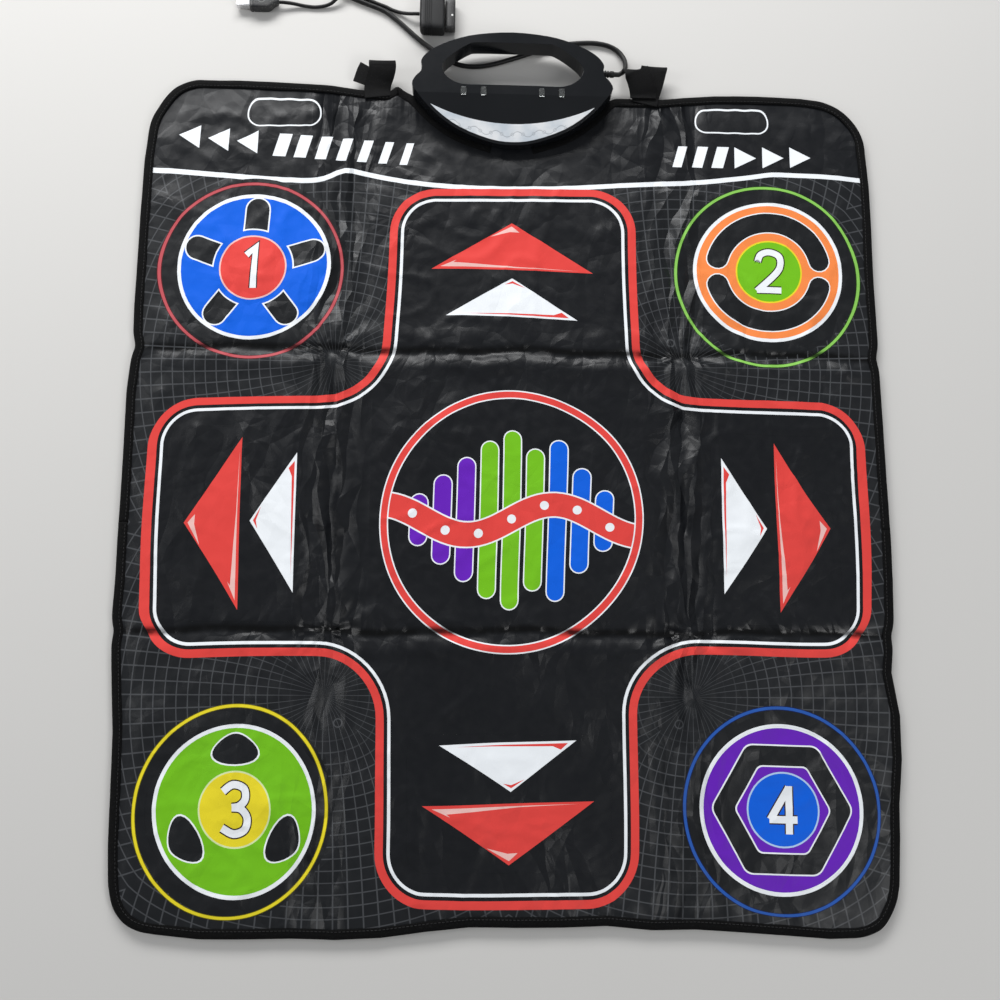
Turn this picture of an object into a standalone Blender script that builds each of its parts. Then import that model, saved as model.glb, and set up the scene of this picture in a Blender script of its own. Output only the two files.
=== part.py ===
"""A soft dance mat controller, modelled as the pieces it is sewn and screwed together from.

Frame: +X to the player's right, +Y towards the control box, +Z up, in metres.
The origin is on the floor, under the middle of the mat and its control box.
"""

import math

import bmesh
import bpy
from mathutils import Vector

# Mat: overall size, and where its two sewn creases divide it, measured from the middle of the print.
MAT_WIDTH = 0.820
MAT_DEPTH = 0.925
MAT_CORNER = 0.055
BOX_REACH = 0.0635  # how far the control box stands out past the rear edge
REAR_CREASE_REACH = 0.1947
FRONT_CREASE_REACH = 0.1137
CREASE_GAP = 0.0006

# Layers, from the floor up. Touching sheets are drawn this far apart.
GAP = 0.0003
LIP = 0.0008  # binding tape under and over the sheets
BASE_SHEET = 0.0008
CONTACT_FILM = 0.0003
FOAM = 0.0030
COVER = 0.0008
CONTACT_PAD = 0.0005

BINDING_WIDTH = 0.0105
BINDING_WALL = 0.0012
EDGE_CLEARANCE = 0.0003

# The fold axes stand this far over the mat's top, so that folded rows lie on each other with room.
REAR_AXIS_LIFT = 0.012
FRONT_AXIS_LIFT = 0.0045

# Press zones, placed from the middle of the printed pattern.
PRINT_OFFSET = -0.0405  # the printed pattern sits this far forward of the mat's middle
ARROW_REACH = 0.2885
ARROW_LONG = 0.210
ARROW_SHORT = 0.138
ARROW_CORNER = 0.020
BADGE_X = 0.2855
BADGE_Y = 0.2933
BADGE_RADIUS = 0.084
BAR_X = 0.257
BAR_INSET = 0.0305  # from the rear edge to the middle of the two small bars
BAR_LONG = 0.085
BAR_SHORT = 0.030
ZONE_CLEARANCE = 0.0004
PAD_INSET = 0.004

# Control box. The outlines are half outlines (x, y from the mat's rear edge), front to back.
BOX_HALF = (
    (0.000, -0.0680),
    (0.026, -0.0650),
    (0.061, -0.0525),
    (0.088, -0.0345),
    (0.107, -0.0145),
    (0.1140, -0.0030),
    (0.1100, 0.0065),
    (0.1045, 0.0125),
    (0.1032, 0.0190),
    (0.1040, 0.0260),
    (0.098, 0.0350),
    (0.086, 0.0438),
    (0.066, 0.0530),
    (0.040, 0.0600),
    (0.000, 0.0635),
)
HOLE_HALF = (
    (0.000, -0.0020),
    (0.030, -0.0020),
    (0.058, -0.0018),
    (0.074, 0.0060),
    (0.0806, 0.0180),
    (0.0765, 0.0275),
    (0.064, 0.0385),
    (0.050, 0.0477),
    (0.040, 0.0500),
    (0.000, 0.0503),
)
OUTLINE_STEPS = 3
INSIDE_STEPS = 2
BOX_BOTTOM = 0.0083  # underside of the box where it spans the floor
BOX_TOP = 0.0320
LOWER_PLATE = 0.0022
SHELL_WALL = 0.0024
TOP_EDGE_RADIUS = 0.0025
SLOPE_START = -0.0130  # from the rear edge: the top falls towards the front from here
SLOPE_ANGLE = math.radians(13.5)
NOTCH_INSET = 0.0040  # the mat's cut-out lies this far inside the box's outline
NOTCH_MOUTH = 0.018
KEEL_CLEARANCE = 0.0010
KEEL_BACK = 0.0060
KEEL_BOTTOM = 0.0012
KEEL_FLOOR = 0.0022
POCKET_HALF = 0.045
POCKET_FRONT = -0.0510
POCKET_BACK = -0.0170
TAIL_HALF = 0.018
TAIL_BACK = -0.0420
BINDING_STOP = 0.022  # the binding leaves this half width free for the film's tail

BOARD = (0.104, 0.028, 0.0016)
BOARD_Y = -0.0340
CRESCENT_TIP = -0.0255  # from the rear edge
CRESCENT_SAG = 0.0200
CRESCENT_INSET = 0.0032
CRESCENT_THICKNESS = 0.0015
CRESCENT_SEAT = 0.0012
TAB_X = (-0.0556, -0.0330, 0.0330, 0.0556)
TAB_SIZE = (0.0065, 0.0100, 0.0030)
TAB_PROUD = 0.0008
TAB_EDGE = 0.0032

RELIEF_Y = 0.0230
RELIEF_Z = 0.0180
RELIEF_RADIUS = 0.0043
RELIEF_BORE = RELIEF_RADIUS + GAP
RELIEF_FLANGE = 0.0056
RELIEF_SLACK = 0.0010
RELIEF_OUT = 0.0130
SCREW_X = 0.0925
SCREW_Y = 0.0160
SCREW_SHANK = 0.0014
SCREW_HEAD = 0.0028
SCREW_HEAD_HEIGHT = 0.0016
SCREW_END = 0.0200
BOSS_RADIUS = 0.0042

# Tie straps: webbing sewn to the rear edge and curled over at the end.
STRAP_WIDTH = 0.030
STRAP_THICKNESS = 0.0016
STRAP_SEAM = -0.0080  # from the rear edge
STRAP_PLACES = {"left": (-0.1535, math.radians(8)), "right": (0.1535, math.radians(-3))}

# Cord and what is on it. Routes and places are measured from the middle of the mat's rear edge.
CORD = 0.0055
LEAD = 0.0040
LIE = 0.0002
STEP_IN_DIAMETERS = 2.6
CORD_ROUTE = (
    (0.1174, 0.0230, 0.0180),
    (0.1229, 0.0230, 0.0180),
    (0.1295, 0.0295, 0.0148),
    (0.1322, 0.0405, 0.0095),
    (0.1308, 0.0520, 0.0048),
    (0.1240, 0.0625, 0.00295),
    (0.1115, 0.0690, 0.00295),
    (0.0950, 0.0715, 0.00295),
    (0.0770, 0.0705, 0.00295),
    (0.0600, 0.0680, 0.00295),
    (0.0425, 0.0635, 0.00295),
    (0.0260, 0.0577, 0.00295),
    (0.0097, 0.0515, 0.00295),
    (-0.0078, 0.0453, 0.00295),
    (-0.0252, 0.0399, 0.00295),
    (-0.0420, 0.0373, 0.00295),
    (-0.0578, 0.0382, 0.00295),
    (-0.0725, 0.0437, 0.00295),
    (-0.0893, 0.0550, 0.00295),
    (-0.1058, 0.0675, 0.00295),
    (-0.1212, 0.0817, 0.00295),
    (-0.1354, 0.0947, 0.00295),
    (-0.1496, 0.1051, 0.00295),
    (-0.1661, 0.1119, 0.00295),
    (-0.1826, 0.1183, 0.00295),
    (-0.2020, 0.1273, 0.00295),
    (-0.2250, 0.1347, 0.00295),
    (-0.2420, 0.1370, 0.00295),
    (-0.2562, 0.1375, 0.00295),
    (-0.2622, 0.1375, 0.00295),
)
COIL_CENTRE = (-0.2680, 0.1810)
COIL_OUTER = 0.0435
COIL_STEP = 0.0061
COIL_TURNS = 7.5
COIL_LAYER = 0.00595
TAIL_ROUTE = (
    (-0.2622, 0.2245, 0.0089),
    (-0.2562, 0.2245, 0.0089),
    (-0.2380, 0.2218, 0.0076),
    (-0.2160, 0.2135, 0.0056),
    (-0.1980, 0.1990, 0.0048),
    (-0.1893, 0.1880, 0.0048),
    (-0.1880, 0.1805, 0.0048),
    (-0.1880, 0.1748, 0.0048),
)
SPLITTER_CENTRE = (-0.1880, 0.1595, 0.0048)
SPLITTER = (0.0140, 0.0300, 0.0090)
LEAD_A_ROUTE = (
    (-0.1843, 0.1442, 0.0048),
    (-0.1843, 0.1402, 0.0048),
    (-0.1840, 0.1330, 0.0030),
    (-0.1815, 0.1264, 0.0022),
    (-0.1775, 0.1230, 0.0022),
    (-0.1715, 0.1205, 0.0022),
    (-0.1641, 0.1175, 0.0022),
    (-0.1560, 0.1141, 0.0022),
    (-0.1465, 0.1104, 0.0022),
    (-0.1400, 0.1069, 0.0022),
    (-0.1300, 0.1033, 0.0030),
    (-0.1205, 0.1005, 0.0058),
    (-0.1130, 0.0993, 0.0080),
    (-0.1078, 0.0993, 0.0080),
)
LEAD_B_ROUTE = (
    (-0.1917, 0.1442, 0.0048),
    (-0.1917, 0.1402, 0.0048),
    (-0.1937, 0.1335, 0.0078),
    (-0.1975, 0.1260, 0.0087),
    (-0.2030, 0.1185, 0.0068),
    (-0.2126, 0.1110, 0.0036),
    (-0.2276, 0.1077, 0.0022),
    (-0.2420, 0.1085, 0.0024),
    (-0.2550, 0.1098, 0.0044),
    (-0.2660, 0.1100, 0.0060),
    (-0.2707, 0.1100, 0.0060),
)
PLUG_A = (0.0290, 0.0460, 0.0177)
PLUG_A_CENTRE = (-0.0930, 0.0985)
PLUG_A_NOSE = (0.0120, 0.0380, 0.0095)
PLUG_A_NOSE_BOTTOM = 0.0020
PLUG_B = (0.0330, 0.0210, 0.0115)
PLUG_B_CENTRE = (-0.2875, 0.1100)
PLUG_B_SLEEVE = (0.0150, 0.0150, 0.0070)

# Worked out from the sizes above.
MIDDLE_Y = -BOX_REACH / 2
REAR_Y = MIDDLE_Y + MAT_DEPTH / 2
FRONT_Y = MIDDLE_Y - MAT_DEPTH / 2
PRINT_Y = MIDDLE_Y + PRINT_OFFSET
REAR_CREASE = PRINT_Y + REAR_CREASE_REACH
FRONT_CREASE = PRINT_Y - FRONT_CREASE_REACH
BASE_Z = LIP + GAP
FILM_Z = BASE_Z + BASE_SHEET + GAP
FOAM_Z = FILM_Z + CONTACT_FILM + GAP
COVER_Z = FOAM_Z + FOAM + GAP
LIP_Z = COVER_Z + COVER + GAP
MAT_TOP = LIP_Z + LIP
UPPER_Z = BOX_BOTTOM + LOWER_PLATE + GAP
KEEL_INSET = NOTCH_INSET + KEEL_CLEARANCE
ARC_STEPS = 6

for old in list(bpy.data.objects):
    bpy.data.objects.remove(old, do_unlink=True)

mat_collection = bpy.data.collections.new("dance_mat_controller")
cutter_collection = bpy.data.collections.new("cutters")
bpy.context.scene.collection.children.link(mat_collection)
bpy.context.scene.collection.children.link(cutter_collection)
cutter_collection.hide_render = True


def finish_of(name, colour, roughness, metallic=0.0):
    """A plain Principled material in the piece's own colour."""
    material = bpy.data.materials.new(name)
    material.use_nodes = True
    shader = material.node_tree.nodes["Principled BSDF"]
    shader.inputs["Base Color"].default_value = (*colour, 1.0)
    shader.inputs["Roughness"].default_value = roughness
    shader.inputs["Metallic"].default_value = metallic
    return material


NYLON = ("nylon", (0.018, 0.019, 0.022), 0.45)
TAPE = ("tape", (0.006, 0.006, 0.007), 0.85)
GRIP_CLOTH = ("grip_cloth", (0.03, 0.03, 0.03), 0.9)
FILM = ("film", (0.55, 0.56, 0.55), 0.35)
CARBON = ("carbon", (0.02, 0.02, 0.02), 0.6)
FOAM_SHEET = ("foam_sheet", (0.75, 0.75, 0.72), 0.95)
BOX_PLASTIC = ("box_plastic", (0.012, 0.014, 0.018), 0.35)
PEARL = ("pearl", (0.72, 0.76, 0.80), 0.3)
CLEAR = ("clear", (0.85, 0.88, 0.88), 0.1)
BOARD_GREEN = ("board_green", (0.02, 0.16, 0.06), 0.5)
CORD_RUBBER = ("cord_rubber", (0.01, 0.01, 0.01), 0.55)
STEEL = ("steel", (0.7, 0.7, 0.7), 0.3, 1.0)
ARROW_CLOTH = ("arrow_cloth", (0.75, 0.06, 0.05), 0.45)
BADGE_CLOTHS = {
    "rear_left": ("blue_cloth", (0.01, 0.13, 0.75), 0.45),
    "rear_right": ("orange_cloth", (0.95, 0.30, 0.08), 0.45),
    "front_left": ("green_cloth", (0.20, 0.55, 0.02), 0.45),
    "front_right": ("purple_cloth", (0.15, 0.02, 0.50), 0.45),
}


def add_node(name, data, finish):
    """An object in the mat's collection with its own material."""
    node = bpy.data.objects.new(name, data)
    mat_collection.objects.link(node)
    label, *values = finish
    data.materials.append(finish_of(name + "_" + label, *values))
    return node


def smooth(points, steps, closed=False):
    """Points along a Catmull-Rom curve through the given ones."""
    points = [Vector(p) for p in points]
    count = len(points)
    last = count if closed else count - 1
    found = []
    for i in range(last):
        if closed:
            a, b, c, d = (points[(i + k) % count] for k in (-1, 0, 1, 2))
        else:
            a, b, c, d = (points[min(max(i + k, 0), count - 1)] for k in (-1, 0, 1, 2))
        for step in range(steps):
            t = step / steps
            found.append(
                0.5 * ((2 * b) + (c - a) * t + (2 * a - 5 * b + 4 * c - d) * t**2 + (3 * b - a - 3 * c + d) * t**3)
            )
    if not closed:
        found.append(points[-1])
    return found


def evenly(points, spacing):
    """The same path with points about this far apart, both ends kept."""
    lengths = [0.0]
    for a, b in zip(points, points[1:]):
        lengths.append(lengths[-1] + (b - a).length)
    count = max(2, round(lengths[-1] / spacing))
    found = []
    place = 0
    for i in range(count + 1):
        target = lengths[-1] * i / count
        while place < len(points) - 2 and lengths[place + 1] < target:
            place += 1
        span = lengths[place + 1] - lengths[place]
        found.append(points[place].lerp(points[place + 1], (target - lengths[place]) / span))
    return found


def inset(points, distance, closed=True):
    """The path moved to its left by this distance, corner by corner."""
    count = len(points)
    found = []
    for i, point in enumerate(points):
        if closed or 0 < i < count - 1:
            before = (point - points[i - 1]).normalized()
            after = (points[(i + 1) % count] - point).normalized()
        elif i == 0:
            before = after = (points[1] - point).normalized()
        else:
            before = after = (point - points[i - 1]).normalized()
        side = (before + after).normalized()
        scale = 1 / max(side.dot(before), 0.5)
        found.append(point + Vector((-side.y, side.x)) * distance * scale)
    return found


def rounded(corners, radius, steps=ARC_STEPS):
    """A closed counterclockwise outline with its corners rounded alike."""
    found = []
    count = len(corners)
    for i in range(count):
        found += corner_arc(corners[i - 1], corners[i], corners[(i + 1) % count], radius, steps)
    return found


def corner_arc(before, corner, after, radius, steps=ARC_STEPS):
    """The arc that rounds one corner of a path."""
    before, corner, after = Vector(before), Vector(corner), Vector(after)
    into = (before - corner).normalized()
    out = (after - corner).normalized()
    half = into.angle(out) / 2
    reach = radius / math.tan(half)
    centre = corner + (into + out).normalized() * radius / math.sin(half)
    start = corner + into * reach - centre
    end = corner + out * reach - centre
    turn = start.angle_signed(end)
    return [centre + rotated(start, -turn * k / steps) for k in range(steps + 1)]


def rotated(vector, angle):
    c, s = math.cos(angle), math.sin(angle)
    return Vector((vector.x * c - vector.y * s, vector.x * s + vector.y * c))


def rectangle(width, depth, radius):
    w, d = width / 2, depth / 2
    return rounded([(-w, -d), (w, -d), (w, d), (-w, d)], radius)


def disc(radius, steps=48):
    return [Vector((radius * math.cos(a), radius * math.sin(a))) for a in (math.tau * k / steps for k in range(steps))]


def moved(outline, x, y):
    return [p + Vector((x, y)) for p in outline]


def mirrored(half):
    """A full counterclockwise outline from a half outline given front to back at +X."""
    half = [Vector(p) for p in half]
    return half + [Vector((-p.x, p.y)) for p in reversed(half[1:-1])]


def flat_curve(name, outlines, bottom, thickness):
    """A flat plate as a filled 2D curve: the first outline is its edge and the rest are its holes."""
    curve = bpy.data.curves.new(name, "CURVE")
    curve.dimensions = "2D"
    curve.fill_mode = "BOTH"
    curve.extrude = thickness / 2
    for outline in outlines:
        spline = curve.splines.new("POLY")
        spline.points.add(len(outline) - 1)
        for point, place in zip(spline.points, outline):
            point.co = (place.x, place.y, 0, 1)
        spline.use_cyclic_u = True
    return curve, bottom + thickness / 2


def plate(name, outlines, bottom, thickness, finish, place=(0, 0)):
    curve, middle = flat_curve(name, outlines, bottom, thickness)
    node = add_node(name, curve, finish)
    node.location = (*place, middle)
    return node


def meshed(source):
    """A mesh object in place of a curve object, with its caps welded to its sides."""
    bpy.context.view_layer.update()
    graph = bpy.context.evaluated_depsgraph_get()
    mesh = bpy.data.meshes.new_from_object(source.evaluated_get(graph))
    shape = bmesh.new()
    shape.from_mesh(mesh)
    bmesh.ops.remove_doubles(shape, verts=shape.verts, dist=1e-6)
    bmesh.ops.recalc_face_normals(shape, faces=shape.faces)
    shape.to_mesh(mesh)
    shape.free()
    name = source.name
    made = bpy.data.objects.new(name, mesh)
    made.matrix_world = source.matrix_world
    for collection in source.users_collection:
        collection.objects.link(made)
    bpy.data.objects.remove(source)
    made.name = name
    return made


def solid_plate(name, outlines, bottom, thickness, finish):
    return meshed(plate(name, outlines, bottom, thickness, finish))


def as_cutter(node):
    node.hide_render = True
    node.display_type = "WIRE"
    return node


def plate_cutter(name, outline, bottom, thickness):
    curve, middle = flat_curve(name, [outline], bottom, thickness)
    cutter = bpy.data.objects.new(name, curve)
    cutter.location.z = middle
    cutter_collection.objects.link(cutter)
    return as_cutter(meshed(cutter))


def box_cutter(name, centre, size, tilt=0.0):
    shape = bmesh.new()
    bmesh.ops.create_cube(shape, size=1.0)
    bmesh.ops.scale(shape, vec=size, verts=shape.verts)
    mesh = bpy.data.meshes.new(name)
    shape.to_mesh(mesh)
    shape.free()
    cutter = bpy.data.objects.new(name, mesh)
    cutter.location = centre
    cutter.rotation_euler.x = tilt
    cutter_collection.objects.link(cutter)
    return as_cutter(cutter)


def round_cutter(name, start, end, radius, sides=20):
    start, end = Vector(start), Vector(end)
    shape = bmesh.new()
    bmesh.ops.create_cone(
        shape, cap_ends=True, segments=sides, radius1=radius, radius2=radius, depth=(end - start).length
    )
    mesh = bpy.data.meshes.new(name)
    shape.to_mesh(mesh)
    shape.free()
    cutter = bpy.data.objects.new(name, mesh)
    cutter.rotation_euler = (end - start).to_track_quat("Z", "Y").to_euler()
    cutter.location = (start + end) / 2
    cutter_collection.objects.link(cutter)
    return as_cutter(cutter)


def combine(node, operation, *others):
    for other in others:
        modifier = node.modifiers.new(operation.lower() + "_" + other.name, "BOOLEAN")
        modifier.operation = operation
        modifier.object = other


def soft_box(name, size, centre, radius, finish, segments=2):
    """A moulded block with its edges rounded."""
    shape = bmesh.new()
    bmesh.ops.create_cube(shape, size=1.0)
    bmesh.ops.scale(shape, vec=size, verts=shape.verts)
    mesh = bpy.data.meshes.new(name)
    shape.to_mesh(mesh)
    shape.free()
    node = add_node(name, mesh, finish)
    node.location = centre
    bevel = node.modifiers.new("rounded", "BEVEL")
    bevel.width = radius
    bevel.segments = segments
    return node


def turned(name, profile, finish, sides=24):
    """A turned piece about its own Z axis, from a profile that runs down its outer side."""
    mesh = bpy.data.meshes.new(name)
    mesh.from_pydata([(r, 0, z) for r, z in profile], [(i, i + 1) for i in range(len(profile) - 1)], [])
    node = add_node(name, mesh, finish)
    screw = node.modifiers.new("turned", "SCREW")
    screw.steps = sides
    screw.render_steps = sides
    screw.use_merge_vertices = True
    screw.merge_threshold = 0.00001
    screw.use_smooth_shade = True
    return node


def tube(name, points, diameter, finish, resolution):
    curve = bpy.data.curves.new(name, "CURVE")
    curve.dimensions = "3D"
    curve.bevel_depth = diameter / 2
    curve.bevel_resolution = resolution
    curve.use_fill_caps = True
    spline = curve.splines.new("POLY")
    spline.points.add(len(points) - 1)
    for point, place in zip(spline.points, points):
        point.co = (*place, 1)
    return add_node(name, curve, finish)


# Outlines that several pieces share.
def whole_outline(half, steps):
    return moved(smooth(mirrored(half), steps, closed=True), 0, REAR_Y)


box_outline = whole_outline(BOX_HALF, OUTLINE_STEPS)
hole_outline = whole_outline(HOLE_HALF, OUTLINE_STEPS)


def rear_edge_path(stop):
    """Half the head row's edge at +X: up from the crease, round the corner and into the box's notch."""
    right = MAT_WIDTH / 2
    notch = [p for p in inset(box_outline, NOTCH_INSET) if p.x > stop and p.y < REAR_Y - 0.013]
    notch.sort(key=lambda p: -p.x)
    top, below = notch[0], notch[1]
    mouth = top + (top - below) * (REAR_Y - top.y) / (top.y - below.y)
    path = [Vector((right, REAR_CREASE + CREASE_GAP / 2))]
    path += corner_arc((right, 0), (right, REAR_Y), (0, REAR_Y), MAT_CORNER, 12)
    path += corner_arc((right - MAT_CORNER, REAR_Y), mouth, top, NOTCH_MOUTH)
    path += notch
    slope = (notch[-2].y - notch[-1].y) / (notch[-2].x - notch[-1].x)
    path.append(Vector((stop, notch[-1].y - slope * (notch[-1].x - stop))))
    return path


def front_edge_path():
    """The front row's edge, from its left crease end round both corners to its right one."""
    right = MAT_WIDTH / 2
    crease = FRONT_CREASE - CREASE_GAP / 2
    path = [Vector((-right, crease))]
    path += corner_arc((-right, 0), (-right, FRONT_Y), (0, FRONT_Y), MAT_CORNER, 12)
    path += corner_arc((0, FRONT_Y), (right, FRONT_Y), (right, 0), MAT_CORNER, 12)
    path.append(Vector((right, crease)))
    return path


def flipped(path):
    return [Vector((-p.x, p.y)) for p in reversed(path)]


def sheet_outline(row):
    """The edge of a row's sheets, inside the binding's wall."""
    inward = BINDING_WALL + EDGE_CLEARANCE
    if row == "head":
        half = inset(rear_edge_path(0.0), inward, closed=False)
        return half + flipped(half)[1:]
    if row == "foot":
        return inset(front_edge_path(), inward, closed=False)
    x = MAT_WIDTH / 2 - inward
    low, high = FRONT_CREASE + CREASE_GAP / 2, REAR_CREASE - CREASE_GAP / 2
    return [Vector(p) for p in ((-x, low), (x, low), (x, high), (-x, high))]


arrow_across = rectangle(ARROW_LONG, ARROW_SHORT, ARROW_CORNER)
arrow_along = rectangle(ARROW_SHORT, ARROW_LONG, ARROW_CORNER)
badge = disc(BADGE_RADIUS)
bar = rectangle(BAR_LONG, BAR_SHORT, BAR_SHORT / 2 - 0.0005)
ARROWS = {
    "up": ("head", arrow_across, 0, PRINT_Y + ARROW_REACH),
    "down": ("foot", arrow_across, 0, PRINT_Y - ARROW_REACH),
    "left": ("middle", arrow_along, -ARROW_REACH, PRINT_Y),
    "right": ("middle", arrow_along, ARROW_REACH, PRINT_Y),
}
BADGES = {
    "rear_left": ("head", badge, -BADGE_X, PRINT_Y + BADGE_Y),
    "rear_right": ("head", badge, BADGE_X, PRINT_Y + BADGE_Y),
    "front_left": ("foot", badge, -BADGE_X, PRINT_Y - BADGE_Y),
    "front_right": ("foot", badge, BADGE_X, PRINT_Y - BADGE_Y),
}
BARS = {
    "bar_left": ("head", bar, -BAR_X, REAR_Y - BAR_INSET),
    "bar_right": ("head", bar, BAR_X, REAR_Y - BAR_INSET),
}


def add_press_zones():
    """Each zone is a patch of the cover that sinks, with its own contact pad under it."""
    for name, (_, shape, x, y) in {**ARROWS, **BADGES, **BARS}.items():
        finish = ARROW_CLOTH if name in ARROWS else BADGE_CLOTHS.get(name, NYLON)
        plate("step_" + name, [shape], COVER_Z, COVER, finish, (x, y))
        pad = inset(shape, PAD_INSET)
        plate("contact_" + name, [pad], COVER_Z - GAP - CONTACT_PAD, CONTACT_PAD, CARBON, (x, y))


def add_rows():
    """The four sheets of each row: base, contact film, foam with windows and printed cover."""
    zones = {**ARROWS, **BADGES, **BARS}.values()
    for row in ("head", "middle", "foot"):
        edge = sheet_outline(row)
        windows = [moved(inset(shape, -ZONE_CLEARANCE), x, y) for on, shape, x, y in zones if on == row]
        plate(row + "_base_sheet", [edge], BASE_Z, BASE_SHEET, GRIP_CLOTH)
        plate(row + "_foam_spacer", [edge, *windows], FOAM_Z, FOAM, FOAM_SHEET)
        plate(row + "_cover", [edge, *windows], COVER_Z, COVER, NYLON)
        if row == "head":
            edge = with_tail(edge)
        plate(row + "_contact_film", [edge], FILM_Z, CONTACT_FILM, FILM)


def with_tail(edge):
    """The head row's film has a tail that runs into the box."""
    right = [p for p in edge[: len(edge) // 2] if p.x > TAIL_HALF + 0.001]
    outer, inner = right[-1], edge[len(right)]
    root = outer.lerp(inner, (outer.x - TAIL_HALF) / (outer.x - inner.x))
    half = [*right, root, Vector((TAIL_HALF, REAR_Y + TAIL_BACK))]
    return half + flipped(half)


def binding_strip(name, path):
    """Folded tape round a stretch of edge: a wall with a lip over and a lip under the sheets."""
    inner = inset(path, BINDING_WIDTH, closed=False)
    strip = solid_plate(name, [path + inner[::-1]], 0.0, MAT_TOP, TAPE)
    first, last = path[0] - path[1], path[-1] - path[-2]
    longer = [path[0] + first.normalized() * 0.005, *path[1:-1], path[-1] + last.normalized() * 0.005]
    near = inset(longer, BINDING_WALL, closed=False)
    far = inset(longer, BINDING_WIDTH + 0.0005, closed=False)
    slot = plate_cutter(name + "_slot", near + far[::-1], LIP, MAT_TOP - 2 * LIP)
    combine(strip, "DIFFERENCE", slot)
    return strip


def add_binding():
    rear = rear_edge_path(BINDING_STOP)
    binding_strip("head_binding_right", rear)
    binding_strip("head_binding_left", flipped(rear))
    binding_strip("foot_binding", front_edge_path())
    x = MAT_WIDTH / 2
    low, high = FRONT_CREASE + CREASE_GAP / 2, REAR_CREASE - CREASE_GAP / 2
    right = [Vector((x, low)), Vector((x, high))]
    binding_strip("middle_binding_right", right)
    binding_strip("middle_binding_left", flipped(right))


def slope_height(y):
    """Height of the box's top at this distance from the rear edge."""
    return BOX_TOP - max(0.0, SLOPE_START - y) * math.tan(SLOPE_ANGLE)


def slope_cutter(name, lower):
    """A block whose underside is the box's falling front, moved down by the given amount."""
    length, height = 0.3, 0.1
    hinge = Vector((0, REAR_Y + SLOPE_START, BOX_TOP - lower))
    along = Vector((0, -math.cos(SLOPE_ANGLE), -math.sin(SLOPE_ANGLE)))
    up = Vector((0, -math.sin(SLOPE_ANGLE), math.cos(SLOPE_ANGLE)))
    return box_cutter(name, hinge + along * length / 2 + up * height / 2, (0.4, length, height), SLOPE_ANGLE)


def crossing(path, y, side):
    """Where a closed path reaches this y on one side, for its front half."""
    for a, b in zip(path, path[1:] + path[:1]):
        if (a.y - y) * (b.y - y) < 0 and a.x * side > 0:
            return a.lerp(b, (y - a.y) / (b.y - a.y))
    raise ValueError("the path doesn't reach that far")


def crescent_outline(grow=0.0):
    """The panel in the sloping top's own plane: the box's front edge, drawn in, and an arc behind it."""
    start = REAR_Y + CRESCENT_TIP + grow
    path = inset(box_outline, CRESCENT_INSET - grow)
    edge = [crossing(path, start, -1)]
    edge += sorted((p for p in path if p.y < start - 0.001), key=lambda p: p.x)
    edge.append(crossing(path, start, 1))
    tip = edge[-1]
    radius = (tip.x**2 + CRESCENT_SAG**2) / (2 * CRESCENT_SAG)
    reach = math.asin(tip.x / radius)
    arc = []
    for k in range(1, 20):
        angle = reach - 2 * reach * k / 20
        arc.append(Vector((radius * math.sin(angle), tip.y + radius * (1 - math.cos(angle)) - CRESCENT_SAG)))
    origin = REAR_Y + CRESCENT_TIP
    return [Vector((p.x, (p.y - origin) / math.cos(SLOPE_ANGLE))) for p in edge + arc]


def on_slope(node, y, over):
    """Lays a flat piece on the sloping top, its origin at this distance from the rear edge."""
    node.rotation_euler.x = SLOPE_ANGLE
    up = Vector((0, -math.sin(SLOPE_ANGLE), math.cos(SLOPE_ANGLE)))
    node.location = Vector((0, REAR_Y + y, slope_height(y))) + up * over


def add_upper_shell():
    # The slab starts too low, so that only its top edges are left rounded when its foot is cut off.
    foot = TOP_EDGE_RADIUS * 2
    shell = solid_plate("upper_shell", [box_outline], UPPER_Z - foot, BOX_TOP - UPPER_Z + foot, BOX_PLASTIC)
    combine(shell, "DIFFERENCE", slope_cutter("front_slope", 0.0))
    combine(shell, "DIFFERENCE", plate_cutter("hand_hole", hole_outline, 0.0, 0.05))
    bevel = shell.modifiers.new("top_edges", "BEVEL")
    bevel.width = TOP_EDGE_RADIUS
    bevel.segments = 2
    bevel.limit_method = "ANGLE"
    bevel.angle_limit = math.radians(40)
    combine(shell, "DIFFERENCE", box_cutter("shell_foot", (0, REAR_Y, UPPER_Z - foot), (0.4, 0.4, foot * 2)))
    hollow_out(shell)
    seat = plate_cutter("crescent_seat", crescent_outline(GAP), 0, 0.02)
    on_slope(seat, CRESCENT_TIP, 0.01 - CRESCENT_SEAT)
    combine(shell, "DIFFERENCE", seat)
    add_light_tabs(shell)
    y = REAR_Y + RELIEF_Y
    combine(shell, "DIFFERENCE", round_cutter("relief_hole", (0.095, y, RELIEF_Z), (0.13, y, RELIEF_Z), RELIEF_BORE))


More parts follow.
